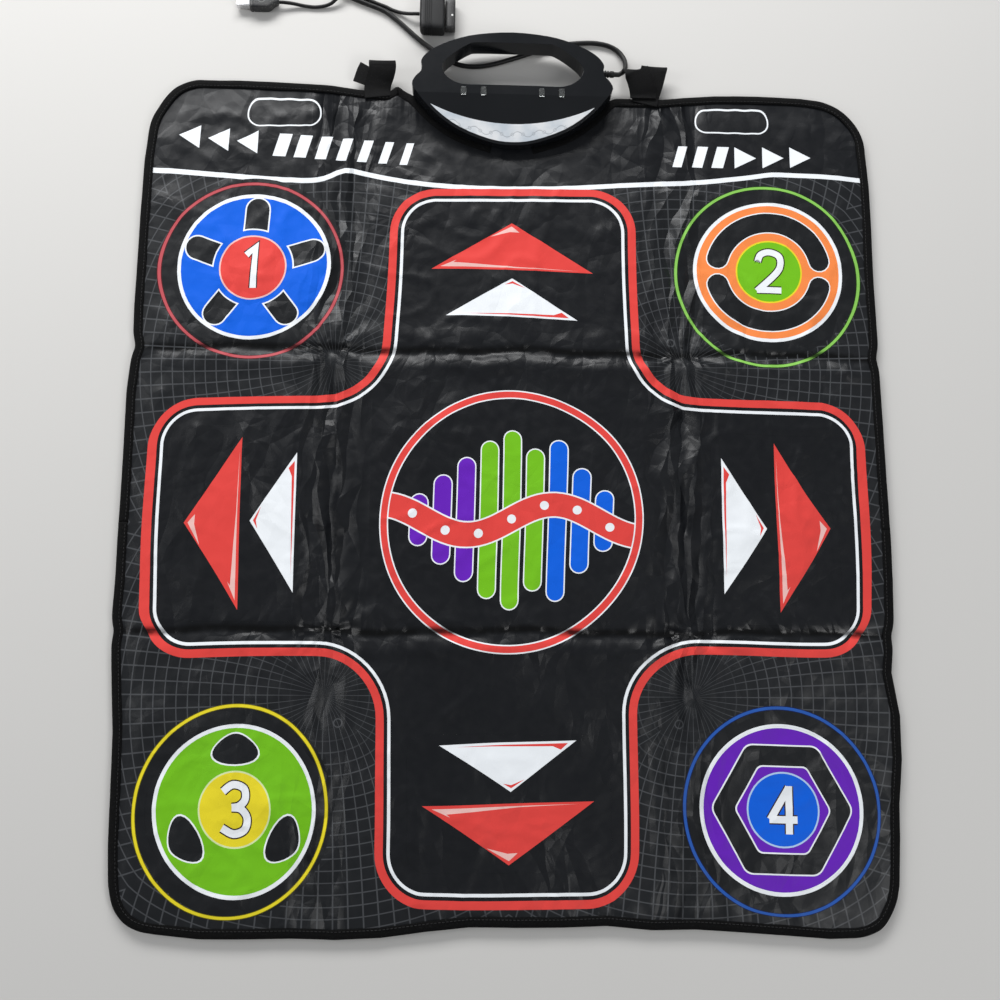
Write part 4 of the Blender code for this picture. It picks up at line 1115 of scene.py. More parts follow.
# %% Outlines of the pads
ARROW_REACH = 0.2885
arrow_across = rounded([(-0.105, -0.069), (0.105, -0.069), (0.105, 0.069), (-0.105, 0.069)], 0.020)
arrow_along = [turned(p, math.pi / 2) for p in arrow_across]
bar_shape = rounded([(-0.0425, -0.015), (0.0425, -0.015), (0.0425, 0.015), (-0.0425, 0.015)], 0.0145)
ZONES = {
    "up": (arrow_across, 0, ARROW_REACH), "down": (arrow_across, 0, -ARROW_REACH),
    "left": (arrow_along, -ARROW_REACH, 0), "right": (arrow_along, ARROW_REACH, 0),
    "rear_left": (circle(BADGE_RADIUS), -BADGE_X, BADGE_Y),
    "rear_right": (circle(BADGE_RADIUS), BADGE_X, BADGE_Y),
    "front_left": (circle(BADGE_RADIUS), -BADGE_X, -BADGE_Y),
    "front_right": (circle(BADGE_RADIUS), BADGE_X, -BADGE_Y),
    "bar_left": (bar_shape, -BAR_X, BAR_Y), "bar_right": (bar_shape, BAR_X, BAR_Y),
}
zone_outlines = {name: moved(shape, x, PRINT_Y + y) for name, (shape, x, y) in ZONES.items()}
MM = 1000.0
GRID = 0.0042


print("pads that sink:", len(zone_outlines))

# %% Triangulation
def covers(outline, x, y):
    """Whether each point lies inside an outline, which may cross itself."""
    turns = np.zeros(len(x), dtype=int)
    for a, b in zip(outline, outline[1:] + outline[:1]):
        side = (b.x - a.x) * (y - a.y) - (x - a.x) * (b.y - a.y)
        turns += (a.y <= y) & (b.y > y) & (side > 0)
        turns -= ((a.y > y) & (b.y <= y) & (side < 0)).astype(int)
    return turns != 0


def search_tree(points):
    """Finds the nearest of some points."""
    tree = kdtree.KDTree(len(points))
    for k, p in enumerate(points):
        tree.insert((p.x, p.y, 0), k)
    tree.balance()
    return tree


def triangulated(outlines, lines, sheet, spacing, crease_rows, crease_spacing):
    """Triangles of a sheet along all these outlines: flat points, and each triangle's points and middle."""
    points, edges = [], []
    for path, closed in [(sheet, True)] + [(o, True) for o in outlines] + [(l, False) for l in lines]:
        first = len(points)
        points += divided(path, min(spacing * 0.8, 0.0034), closed)
        count = len(points) - first
        edges += [(first + k, first + (k + 1) % count) for k in range(count if closed else count - 1)]
    rows = []
    for crease in CREASES:
        for offset in crease_rows:
            start = -0.409 + crease_spacing * 0.5 * (len(rows) % 2)
            rows += [Vector((x, crease + offset)) for x in np.arange(start, 0.409, crease_spacing)]
    grid = []
    for j, y in enumerate(np.arange(FRONT_Y, REAR_Y, spacing * 0.866)):
        grid += [Vector((x + spacing * 0.5 * (j % 2), y)) for x in np.arange(-0.41, 0.41, spacing)]
    for extra, room in ((rows, 0.0014), (grid, spacing * 0.42)):
        taken = search_tree(points)
        within = covers(sheet, *np.array(extra).T)
        points += [p for p, ok in zip(extra, within) if ok and taken.find((p.x, p.y, 0))[2] > room]
    flat = [Vector((p.x * MM, p.y * MM)) for p in points]
    made = delaunay_2d_cdt(flat, edges, [], 0, 1e-3, False)
    place, faces = np.array(made[0]) / MM, np.array(made[2])
    centre = place[faces].mean(axis=1)
    keep = covers(sheet, centre[:, 0], centre[:, 1])
    return place, faces[keep], centre[keep]


print("the mat's edge encloses its middle:", bool(covers(mat_edge, np.zeros(1), np.zeros(1))[0]))

# %% Triangles of the cover
SEAM = 0.0015  # the sheets end this far inside the mat's edge
sheet_edge = inset(mat_edge, SEAM)
side_lines = [[Vector((-0.42, y)), Vector((0.42, y))] for y in (*CREASES, ROW_SPLIT)]
crease_rows = [side * y for side in (-1, 1) for y in (0.0022, 0.0040, 0.0058, 0.0078, 0.0100, 0.0125)]
crease_rows.sort()
shapes = [outline for outline, _ in printed[2:]] + list(zone_outlines.values())
edges_of_line = [inset(line, 0.0028, False), inset(line, -0.0028, False)]
edges_of_line = [[registered(p) for p in moved(path, 0, PRINT_Y)] for path in edges_of_line]
ROW_SPACING = 0.0036
place, faces, centre = triangulated(
    shapes, side_lines + edges_of_line, sheet_edge, GRID, crease_rows, ROW_SPACING,
)
print("points:", len(place), "triangles:", len(faces))

# %% [markdown]
# ## Inks on nylon
#
# Coated nylon is satin: where it has been crumpled it keeps flat facets with crisp edges, each of which takes
# the light in its own way. A Voronoi pattern measures how far a point is from the edge of its cell, which
# gives just such facets: sloping planes that meet in ridges. Two sizes of them lie under thin sharp folds and
# the weave. Heights are in millimetres. Every ink has this cloth under it, so the cloth is a shared effect
# and the ink only its colour. In the two sewn creases the cloth is darker, because little light gets there.
# Beside the box and under the straps the tape draws it into narrow gathers.

# %% Folds that the material and the mesh share
CREASE_WAVES = ((0.0017, 23.0, 1.3), (0.0011, 57.0, 0.4))
SIDE_FOLDS = (-0.193, 0.187)
SIDE_WAVES = ((0.0045, 11.0, 2.0), (0.0016, 41.0, 0.0))


def wavy(t, waves):
    """How far a fold strays from its straight line at this place along it."""
    return sum(size * math.sin(t * rate + start) for size, rate, start in waves)


def wavy_value(t, waves):
    """The same as `wavy`, as nodes."""
    first, second = (((t * rate) + start).math("SINE") * size for size, rate, start in waves)
    return first + second


def beside(place, folds, near, far):
    """1 within a distance of either of two folds, and 0 further from them."""
    first, second = (abs(place - fold) for fold in folds)
    return first.math("MINIMUM", second).between(near, far, 1.0, 0.0)


print("creases stray by", round(1000 * sum(w[0] for w in CREASE_WAVES), 1), "mm at most")

# %% Heights of the nylon
nylon, inside, outside = shared_effect(
    "crinkled nylon",
    {"Vector": None, "Color": (0.0, 0.0, 0.0, 1.0), "Wear": 0.02, "Roughness": 0.45},
    ["Color", "Roughness", "Height"],
)
at = inside["Vector"]
across, along, _ = split(at)
aside = abs(across)
bent = Value(put(nylon, "TexNoise", {"Vector": at, "Scale": 11.0, "Detail": 2.0}).outputs["Color"])
bend_by = {0: bent, 1: (0.045, 0.045, 0.045), 2: at}
swayed = Value(put(nylon, "VectorMath", bend_by, operation="MULTIPLY_ADD").outputs[0])
upright = scaled(swayed, (1.5, 0.75, 0.0))
broad = clouds(at, 9.0)
by_side = beside(across, SIDE_FOLDS, 0.012, 0.042)
by_fold = beside(along, CREASES, 0.010, 0.050).math("MAXIMUM", by_side)
lively = broad.between(0.44, 0.62, 0.12, 0.9).math("MAXIMUM", by_fold * broad.between(0.36, 0.58, 0.35, 1.0))


def facets(vector, scale, slope):
    """Sloping planes that meet in ridges, their height in millimetres."""
    return cells(vector, scale, feature="DISTANCE_TO_EDGE", voronoi_dimensions="2D") * (1000 * slope / scale)


sharp = {"Vector": upright, "Scale": 15.0, "Detail": 2.0, "Roughness": 0.45, "Offset": 1.0, "Gain": 1.5}
ridges = Value(put(nylon, "TexNoise", sharp, noise_type="RIDGED_MULTIFRACTAL").outputs[0]).between(1.20, 2.0)
small = clouds(swayed, 95.0, 1.5)
large = facets(upright, 14.0, 0.12) + facets(swayed, 46.0, 0.075) + ridges * 0.85
streaks = facets(scaled(swayed, (3.2, 0.55, 0.0)), 14.0, -0.22) * by_side
by_strap = aside.between(0.095, 0.110) * aside.between(0.200, 0.240, 1.0, 0.0)
by_tape = along.between(REAR_Y - 0.050, REAR_Y - 0.014)
gathers = clouds(scaled(at, (1.0, 0.12, 0.0)), 120.0, 1.5) * by_tape * by_strap
warp, weft = threads(at, 430.0)
height = large * lively + streaks + small * 0.15 + gathers * 2.2 + warp * weft * 0.012
print("nodes in the nylon so far:", len(nylon.nodes))

# %% Colours of the nylon
# Painted shade: in the two sewn creases the colour is painted nearly black, as shade where little light gets
# in, and broken up by a soft noise. The same band is also made glossier.
crease_shade_breakup = clouds(at, 60.0).between(0.30, 0.50, 0.55, 1.0)
in_crease = beside(along - wavy_value(across, CREASE_WAVES), [c + 0.0012 for c in CREASES], 0.0014, 0.0056)
painted_crease_shade = in_crease * crease_shade_breakup
worn = mixed(broad.between(0.35, 0.70) * inside["Wear"], inside["Color"], (0.16, 0.165, 0.17))
feed(outside, {
    "Color": mixed(painted_crease_shade * 0.9, worn, (0.0008, 0.0008, 0.0008)),
    "Roughness": inside["Roughness"] + small.between(0.3, 0.7, -0.04, 0.05) + painted_crease_shade * -0.16,
    "Height": height,
})

INKS = {
    "black": "101216", "plain": "15171A", "grid": "191B1E", "ink_edge": "2A1414", "red": "E64843",
    "white": "F5F9FD", "pink": "F2C4BE", "blue": "0A63E2", "orange": "FB8E4C", "green": "77C320",
    "purple": "6A24BC", "yellow": "EFDD2E", "rose": "C0555C", "rose_edge": "54191C", "light_green": "8CCB5C",
    "light_green_edge": "22420F", "yellow_edge": "6B6410", "deep_blue": "2A5BB0", "deep_blue_edge": "101F52",
    "pale_green": "DDEBB0", "pale_blue": "B8D4F4",
}
INK_ROUGHNESS = {
    "black": 0.38, "plain": 0.40, "grid": 0.40, "ink_edge": 0.45, "red": 0.50, "white": 0.50, "blue": 0.50,
}
BARE = ("black", "plain", "grid", "ink_edge")
print("inks:", len(INKS))

# %% [markdown]
# The corners carry a faint net of lines that draws together towards one point beside the cross. Taking the
# distance from that point the same way on all four sides lets one small graph draw all four nets: the lines
# of one family fan out from the point and then run side by side, and the others cross them in arcs.

# %% Net of lines
NET_POINT = (0.1930, 0.1800)
NET_PITCH = 0.0225
NET_PULL = 0.10
NET_RINGS = ((-0.015, 0.028, 0.0042), (0.105, 0.057, 0.0040), (0.118, 0.066, 0.0034))
net, inside, outside = shared_effect("gathered net", {"Vector": None}, ["Mask"])
across, along, _ = split(inside["Vector"])
from_x = abs(across) - NET_POINT[0]
from_y = abs(along - PRINT_Y) - NET_POINT[1]
near = abs(from_x).math("MINIMUM", abs(from_y))
far = abs(from_x).math("MAXIMUM", abs(from_y)).math("MAXIMUM", 0.001)
ratio = near / far
fan = near * (far + NET_PULL) / far
arcs = far * (ratio * ratio * 0.30 + 1.0)


def drawn(value, pitch, half_width):
    """1 on evenly spaced thin lines of a value, and 0 between them."""
    return value.math("PINGPONG", pitch / 2).between(half_width, half_width * 1.8, 1.0, 0.0)


crossing = drawn(arcs, NET_PITCH * 0.52, 0.00042) * far.between(0.03, 0.075)
mask = drawn(fan, NET_PITCH, 0.0008).math("MAXIMUM", crossing)
for x, y, radius in NET_RINGS:
    ring = abs(far_from(from_x, from_y, x, y) - radius).between(0.0004, 0.0008, 1.0, 0.0)
    mask = mask.math("MAXIMUM", ring)
feed(outside, {"Mask": mask})


def nylon_ink(name):
    """The nylon under one ink. A printed layer fills the weave, so its relief is half that of bare cloth."""
    roughness = INK_ROUGHNESS.get(name, 0.46)
    gloss, relief = (0.30, 0.001) if name in BARE else (0.13, 0.0005)
    material, shader, where = new_material("nylon_" + name, roughness, Specular_IOR_Level=gloss)
    made = placed(nylon, Vector=where, Color=linear(INKS[name]), Roughness=roughness)
    colour = made["Color"]
    if name == "grid":
        colour = mixed(placed(net, Vector=where)["Mask"], colour, linear("46484B"))
    dress(shader, made["Height"], relief, Base_Color=colour, Roughness=made["Roughness"])
    return material


ink_materials = [nylon_ink(name) for name in INKS]
ink_names = list(INKS)
print("nylon finishes:", len(ink_materials))

# %% [markdown]
# ## Wrinkles
#
# The height of the cloth is one function of the place. It swells a little over its foam and comes down to the
# tape at its edge. It dips in the two sewn creases, with a soft roll on each side, and less in the two lines
# where it has been folded the other way. Where the folds cross, the cloth is gathered into a star of small
# wrinkles. Over all of it lie ridges of three sizes.

# %% Creases, folds and stars
edge_tree = search_tree(divided(mat_edge, 0.0015))
COVER_LOW = 0.0061
COVER_TOP = 0.0124
CROSSINGS = ((-0.198, REAR_CREASE), (0.187, REAR_CREASE), (-0.193, FRONT_CREASE), (0.187, FRONT_CREASE))


def bell(off, width):
    """1 at the middle of a fold, falling away over this width."""
    return math.exp(-((off / width) ** 2))


def ridge(x, y, frequency, seed, width):
    """A sharp ridge wherever a noise passes through zero."""
    return max(0.0, 1 - abs(noise.noise((x * frequency, y * frequency, seed))) / width) ** 2


def crease_height(x, y, crease):
    """A sewn crease: its dip, the softer roll on each side, and puckers across it."""
    off = y - crease - wavy(x, CREASE_WAVES)
    if abs(off) >= 0.06:
        return 0.0
    width, roll = (0.0070, 0.0022) if off < 0 else (0.0050, 0.0006)
    vary = (1.0 if crease == REAR_CREASE else 0.8) * (0.8 + 0.5 * noise.noise((x * 11, 7.7, crease)))
    dip_and_roll = vary * (roll * bell(abs(off) - 0.0180, 0.0085) - 0.0031 * bell(off, width))
    return dip_and_roll + 0.0012 * noise.noise((x * 70, off * 16, 1.1)) * bell(off, 0.014)


def fold_height(x, y, fold):
    """A line where the mat was folded the other way: a narrow dip between two low rolls."""
    off = x - fold - wavy(y, SIDE_WAVES)
    if abs(off) >= 0.05:
        return 0.0
    vary = ease(noise.noise((y * 8, 1.7, fold)), -0.45, 0.2)
    return vary * (0.0012 * bell(abs(off) - 0.012, 0.008) - 0.0014 * bell(off, 0.0040))


def star_height(x, y, cx, cy):
    """Small wrinkles that run out from the place where two folds cross."""
    reach = math.hypot(x - cx, y - cy)
    if reach >= 0.14:
        return 0.0
    angle = math.atan2(y - cy, x - cx)
    star = noise.noise((math.cos(angle) * 3.3, math.sin(angle) * 3.3, reach * 7 + cx * 9))
    return 0.0050 * star * bell(reach, 0.050) * ease(reach, 0.0, 0.012)


print("a crease dips by", round(-1000 * crease_height(0.3, REAR_CREASE, REAR_CREASE), 1), "mm at x = 0.3")

# %% Height of the cloth
def cloth_height(x, y):
    """How high the cover lies at a flat point of the mat."""
    swell = ease(edge_tree.find((x, y, 0))[2], 0.0095, 0.034)
    sway_x = x + 0.022 * noise.noise((x * 6, y * 6, 0.3))
    sway_y = y + 0.022 * noise.noise((x * 6, y * 6, 5.3))
    strength = 0.45 + 0.55 * ease(noise.noise((x * 5.2, y * 5.2, 8.8)), -0.15, 0.30)
    folds = 0.0013 * ridge(sway_x * 1.3, sway_y * 0.8, 9, 2.2, 0.20)
    folds += 0.0009 * ridge(sway_x, sway_y * 1.2, 19, 4.1, 0.22)
    folds += 0.0004 * ridge(sway_x * 1.2, sway_y, 43, 6.7, 0.28)
    rise = 0.0011 + 0.0011 * noise.noise((x * 8, y * 8, 3.1)) + strength * folds
    rise += sum(crease_height(x, y, crease) for crease in CREASES)
    rise += sum(fold_height(x, y, fold) for fold in SIDE_FOLDS)
    rise += sum(star_height(x, y, *crossing) for crossing in CROSSINGS)
    z = 0.0070 + swell * rise
    by_box = 1 - ease(math.hypot(x, y - REAR_Y), 0.09, 0.15)
    z -= by_box * swell * 0.4 * (z - 0.0074)
    return min(max(z + 0.0030 * hump(x, y), COVER_LOW + 0.0003), COVER_TOP)


print("cloth height at the middle:", round(cloth_height(0, PRINT_Y), 4))

# %% [markdown]
# Each triangle takes the last ink laid over it, and belongs either to one of the ten pads or to the rear or
# front half of the cover. All pieces share their edge points and the smooth direction of the surface there,
# so that no seam shows between them at rest.

# %% Inks and pieces of the triangles
ink_of = np.zeros(len(faces), dtype=int)
x, y = centre[:, 0], centre[:, 1]
for outline, ink in printed:
    xs, ys = [p.x for p in outline], [p.y for p in outline]
    some = np.nonzero((x > min(xs)) & (x < max(xs)) & (y > min(ys)) & (y < max(ys)))[0]
    hit = covers(outline, x[some], y[some])
    ink_of[some[hit]] = ink_names.index(ink)
piece_of = np.where(y > ROW_SPLIT, "rear", "front").astype(object)
for name, outline in zone_outlines.items():
    piece_of[covers(outline, x, y)] = name
top = np.array([(*settled(Vector(p)), cloth_height(*p)) for p in place])
corners = top[faces]
face_normals = np.cross(corners[:, 1] - corners[:, 0], corners[:, 2] - corners[:, 0])
downward = face_normals[:, 2] < 0
faces[downward] = faces[downward][:, ::-1]
face_normals[downward] *= -1
point_normals = np.zeros_like(top)
for k in range(3):
    np.add.at(point_normals, faces[:, k], face_normals)
point_normals /= np.maximum(np.linalg.norm(point_normals, axis=1), 1e-12)[:, None]
print("cloth from", round(top[:, 2].min(), 4), "to", round(top[:, 2].max(), 4), "m high")


# %% Slabs of cloth
WALL_TAPER = 0.0003  # the walls lean in by this much below, so a pressed pad doesn't rub on its neighbour
REAR_FOAM_ROOM = 0.0135  # the foam and the films stop this far from the middle of a crease
FRONT_FOAM_ROOM = 0.0080
BENDS = {
    "rear": ("head_row", "middle_row", REAR_CREASE, 0.0130),
    "front": ("middle_row", "foot_row", FRONT_CREASE, 0.0078),
}


def slab(name, faces, chosen, surface, normals, low, inks, materials, gap=0.0):
    """A closed piece: the chosen triangles on top, the same ones below at an even height, and walls."""
    used, upper = np.unique(faces[chosen], return_inverse=True)
    upper, count = upper.reshape(-1, 3), len(used)
    edges = dict.fromkeys(edge for a, b, c in upper.tolist() for edge in ((a, b), (b, c), (c, a)))
    sides = [edge for edge in edges if edge[::-1] not in edges]
    polygons = upper.tolist() + (upper[:, ::-1] + count).tolist()
    polygons += [(a, a + count, b + count, b) for a, b in sides]
    points = surface[used]
    inward = np.zeros((count, 2))
    for a, b in sides:
        way = points[b, :2] - points[a, :2]
        inward[[a, b]] += (-way[1], way[0])
    inward /= np.maximum(np.linalg.norm(inward, axis=1), 1e-9)[:, None]
    above = points + np.column_stack([gap * inward, np.zeros(count)])
    below = np.column_stack([points[:, :2] + (gap + WALL_TAPER) * inward, np.full(count, low)])
    kinds = np.unique(inks[chosen])
    used_materials = [materials[kind] for kind in kinds]
    made = new_piece(name, np.vstack([above, below]).tolist(), polygons, *used_materials, outwards=False)
    index = np.zeros(len(polygons), dtype=int)
    index[: len(upper)] = np.searchsorted(kinds, inks[chosen])
    made.data.polygons.foreach_set("material_index", index)
    own = np.empty(len(polygons) * 3)
    made.data.polygons.foreach_get("normal", own)
    rest = polygons[len(upper) :]
    rest_normals = np.repeat(own.reshape(-1, 3)[len(upper) :], [len(p) for p in rest], axis=0)
    corner_normals = np.vstack([normals[used][upper].reshape(-1, 3), rest_normals])
    made.data.normals_split_custom_set(corner_normals.tolist())
    return made


def bend(piece, half):
    """Bakes a piece's placing into its mesh. The rows, crease and room of its half are looked up, but nothing
    uses them.
    """
    first, second, crease, room = BENDS[half]
    crease + room
    crease - room
    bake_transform(piece)


print("bends:", BENDS)


# %% Cover and pads
cover = {}
for half in ("rear", "front"):
    cover[half] = slab(
        "cover_" + half, faces, piece_of == half, top, point_normals, COVER_LOW, ink_of, ink_materials,
    )
    bend(cover[half], half)
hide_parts("head_cover", "middle_cover")
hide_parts("foot_cover")
pads = {}
for zone in ZONES:
    args = (faces, piece_of == zone, top, point_normals, COVER_LOW, ink_of, ink_materials)
    pads[zone] = slab("pad_" + zone, *args, gap=0.00006)
    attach(pads[zone], "press_" + zone)
    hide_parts("step_" + zone)


def flat_area(faces, chosen, place):
    """The area of these triangles as the cloth was cut."""
    a, b, c = (place[faces[chosen][:, k]] for k in range(3))
    (ux, uy), (vx, vy) = (b - a).T, (c - a).T
    return round(float(np.abs(ux * vy - vx * uy).sum() / 2), 4)


for half, rests, zones in (
    ("rear", "tape_rear_left", ("up", "rear_left", "rear_right", "bar_left", "bar_right")),
    ("front", "tape_front", ("down", "left", "right", "front_left", "front_right")),
):
    area = flat_area(faces, piece_of == half, place)

# %% [markdown]
# ## Base cloth, foam and films
#
# Under the cover lie a foam sheet with a window at each pad, a thin contact film, and a non-slip base cloth.
# They are flat, so a coarse triangulation will do, with close rows only where the base cloth bends. The foam
# stops short of each crease, as in a real mat, because a folded foam edge would push through the cover.

# %% Coarse triangles
COARSE_GRID = 0.011
windows = [inset(outline, -0.0004) for outline in zone_outlines.values()]
contact_outlines = {zone: inset(outline, 0.0040) for zone, outline in zone_outlines.items()}
room_ends = [
    REAR_CREASE - REAR_FOAM_ROOM, REAR_CREASE + REAR_FOAM_ROOM,
    FRONT_CREASE - FRONT_FOAM_ROOM, FRONT_CREASE + FRONT_FOAM_ROOM,
]
coarse_shapes = windows + list(contact_outlines.values())
coarse_lines = side_lines + [[Vector((-0.42, y)), Vector((0.42, y))] for y in room_ends]
coarse_place, coarse_faces, coarse_centre = triangulated(
    coarse_shapes, coarse_lines, sheet_edge, COARSE_GRID, crease_rows, ROW_SPACING
)
flat = np.array([(*settled(Vector(p)), 0.0) for p in coarse_place])
upward = np.tile((0.0, 0.0, 1.0), (len(flat), 1))
a, b, c = (flat[coarse_faces[:, k]] for k in range(3))
clockwise = np.cross(b - a, c - a)[:, 2] < 0
coarse_faces[clockwise] = coarse_faces[clockwise][:, ::-1]
one_kind = np.zeros(len(coarse_faces), dtype=int)
centre_y = coarse_centre[:, 1]
open_window = np.zeros(len(centre_y), dtype=bool)
for outline in windows:
    open_window |= covers(outline, coarse_centre[:, 0], centre_y)
print("coarse triangles:", len(coarse_faces))

# %% [markdown]
# The base cloth, the tapes and the straps are woven, so their threads are one shared effect: two sets of
# waves cross each other, with a little lint on them. The base cloth has rubber dots as well. The film is
# clear with silver traces in rows, and the pads under the cover are printed in black carbon squares.

# %% Woven and printed finishes
cloth, inside, outside = shared_effect(
    "threads", {"Vector": None, "Color": (0.0, 0.0, 0.0, 1.0), "Pitch": 0.0009}, ["Color", "Height"]
)
warp, weft = threads(inside["Vector"], inside["Pitch"].math("POWER", -1.0) * 0.314, 0.4)
fuzz = clouds(inside["Vector"], 700.0)
lint = fuzz.between(0.55, 0.75, 0.0, 0.22)
linted = mixed(lint, inside["Color"], (0.05, 0.05, 0.05))
feed(outside, {"Color": linted, "Height": abs(warp - weft) + fuzz * 0.6})


def woven_finish(name, colour, roughness, pitch, relief, **sockets):
    return finish_of(cloth, name, roughness, relief, {"Color": colour, "Pitch": pitch}, **sockets)


tape_cloth = woven_finish(
    "binding_tape", (0.0030, 0.0030, 0.0032), 0.80, 0.0010, 0.00020, Specular_IOR_Level=0.12,
)
webbing = woven_finish(
    "strap_webbing", (0.0032, 0.0032, 0.0036), 0.66, 0.0016, 0.00030, Specular_IOR_Level=0.15,
)
thread = woven_finish("black_thread", (0.020, 0.020, 0.021), 0.55, 0.0005, 0.00008)

DOT_PITCH = 0.006
grip_cloth, shader, where = new_material("grip_cloth", 0.86)
made = placed(cloth, Vector=where, Color=(0.022, 0.022, 0.023), Pitch=0.0011)
dots = cells(where, 1 / DOT_PITCH, {"Randomness": 0.0}, voronoi_dimensions="2D").between(0.22, 0.30, 1.0, 0.0)
dotted = mixed(dots, made["Color"], (0.045, 0.045, 0.047))
dress(shader, made["Height"] * 0.15 + dots, 0.00045, Base_Color=dotted)

foam_sheet, shader, where = new_material("foam_sheet", 0.9)
stained = mixed(clouds(where, 30.0), (0.78, 0.77, 0.72), (0.64, 0.61, 0.52))
dress(shader, cells(where, 900.0), 0.0006, Base_Color=stained)

film, shader, where = new_material("contact_film", 0.30)
haze = clouds(where, 60.0)
across, along, _ = split(where)
rows = across.math("PINGPONG", 0.0050).between(0.0006, 0.0009, 1.0, 0.0)
silver = along.math("PINGPONG", 0.0240).between(0.0007, 0.0010, 1.0, 0.0).math("MAXIMUM", rows)
milk = mixed(haze, (0.62, 0.63, 0.62), (0.50, 0.51, 0.50))
dress(shader, haze + silver, 0.00008, Base_Color=mixed(silver, milk, (0.26, 0.27, 0.28)))

carbon, shader, where = new_material("carbon_print", 0.60)
soot = clouds(where, 1900.0)
columns, rows = (part.math("PINGPONG", 0.0040).between(0.0003, 0.0006) for part in split(where)[:2])
inked = columns * rows
dark = mixed(soot, (0.012, 0.012, 0.012), (0.020, 0.020, 0.020))
dress(shader, inked + soot * 0.4, 0.00006, Base_Color=mixed(inked, (0.34, 0.34, 0.33), dark))
print("inner finishes:", grip_cloth.name, foam_sheet.name, film.name, carbon.name)

# %% Base cloth, foam, films and contacts
def inner(name, chosen, low, high, material, slot, *nodes):
    """A flat piece of the coarse triangles between two heights."""
    surface = flat + (0.0, 0.0, high)
    made = slab(name, coarse_faces, chosen, surface, upward, low, one_kind, [material])
    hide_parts(*nodes)
    return made


for half, chosen, nodes in (
    ("rear", centre_y > ROW_SPLIT, ("head_base_sheet", "middle_base_sheet")),
    ("front", centre_y < ROW_SPLIT, ("foot_base_sheet",)),
):
    base = inner("base_" + half, chosen, 0.0011, 0.0019, grip_cloth, "grip_cloth", *nodes)
    bend(base, half)
    area = flat_area(coarse_faces, chosen, coarse_place)
for row, chosen, under in (
    ("head", centre_y > REAR_CREASE + REAR_FOAM_ROOM, "base_rear"),
    (
        "middle",
        (centre_y < REAR_CREASE - REAR_FOAM_ROOM) & (centre_y > FRONT_CREASE + FRONT_FOAM_ROOM),
        "base_rear",
    ),
    ("foot", centre_y < FRONT_CREASE - FRONT_FOAM_ROOM, "base_front"),
):
    foam = inner(
        row + "_foam", chosen & ~open_window, 0.0028, 0.0058, foam_sheet, "foam", row + "_foam_spacer",
    )
    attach(foam, row + "_row")
    sheet = inner(row + "_film", chosen, 0.0022, 0.0025, film, "contact_film", row + "_contact_film")
    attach(sheet, row + "_row")
    area = flat_area(coarse_faces, chosen, coarse_place)
for zone, outline in contact_outlines.items():
    chosen = covers(outline, coarse_centre[:, 0], centre_y)
    contact = inner("carbon_" + zone, chosen, 0.0053, 0.0058, carbon, "carbon_print", "contact_" + zone)
    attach(contact, "press_" + zone)

# %% [markdown]
# ## Binding tape
#
# A folded tape closes the edge. It is swept along the outline as a C-shaped section, with small waves where
# the sewing draws it in, and a row of stitches near its inner edge. Each half of the mat has its own tape.

# %% Stitches
STITCH_PITCH = 0.0040
STITCH = (0.0030, 0.00055, 0.00040)


def directions(points):
    """Which way a path goes at each of its points."""
    last = len(points) - 1
    return [(points[min(i + 1, last)] - points[max(i - 1, 0)]).normalized() for i in range(last + 1)]


def stitch_shape(middle, along, points, faces):
    """Adds a short spindle of thread, half sunk in the cloth."""
    length, width, height = STITCH
    up, side = Vector((0, 0, 1)), Vector((-along.y, along.x, 0))
    first = len(points)
    points.append(middle - along * length / 2 - up * height * 0.4)
    for reach in (-0.32, 0.32):
        for k in range(6):
            a = math.tau * k / 6
            point = middle + along * length * reach
            points.append(point + side * width * math.cos(a) / 2 + up * height * math.sin(a))
    points.append(middle + along * length / 2 - up * height * 0.4)
    for k in range(6):
        near, far = first + 1 + k, first + 1 + (k + 1) % 6
        faces += [(first, far, near), (near, far, far + 6, near + 6), (near + 6, far + 6, first + 13)]


print("a stitch is", STITCH[0] * 1000, "mm long, and the next starts", STITCH_PITCH * 1000, "mm on")

# %% Binding tape
TAPE_OUTSIDE = (
    (105, 78), (100, 84), (80, 88), (50, 88), (22, 81), (4, 66), (-1, 45), (2, 25), (16, 9), (48, 3), (82, 2),
    (105, 3),
)
TAPE_INSIDE = ((105, 9), (60, 9), (30, 11), (15, 25), (13, 45), (16, 63), (32, 73), (68, 74), (105, 73))
TAPE_STEP = 0.0030
SEAM_INSET = 0.0082


def close_to_box(p):
    return 1 - ease((p - BOX_MIDDLE).length, 0.105, 0.135)


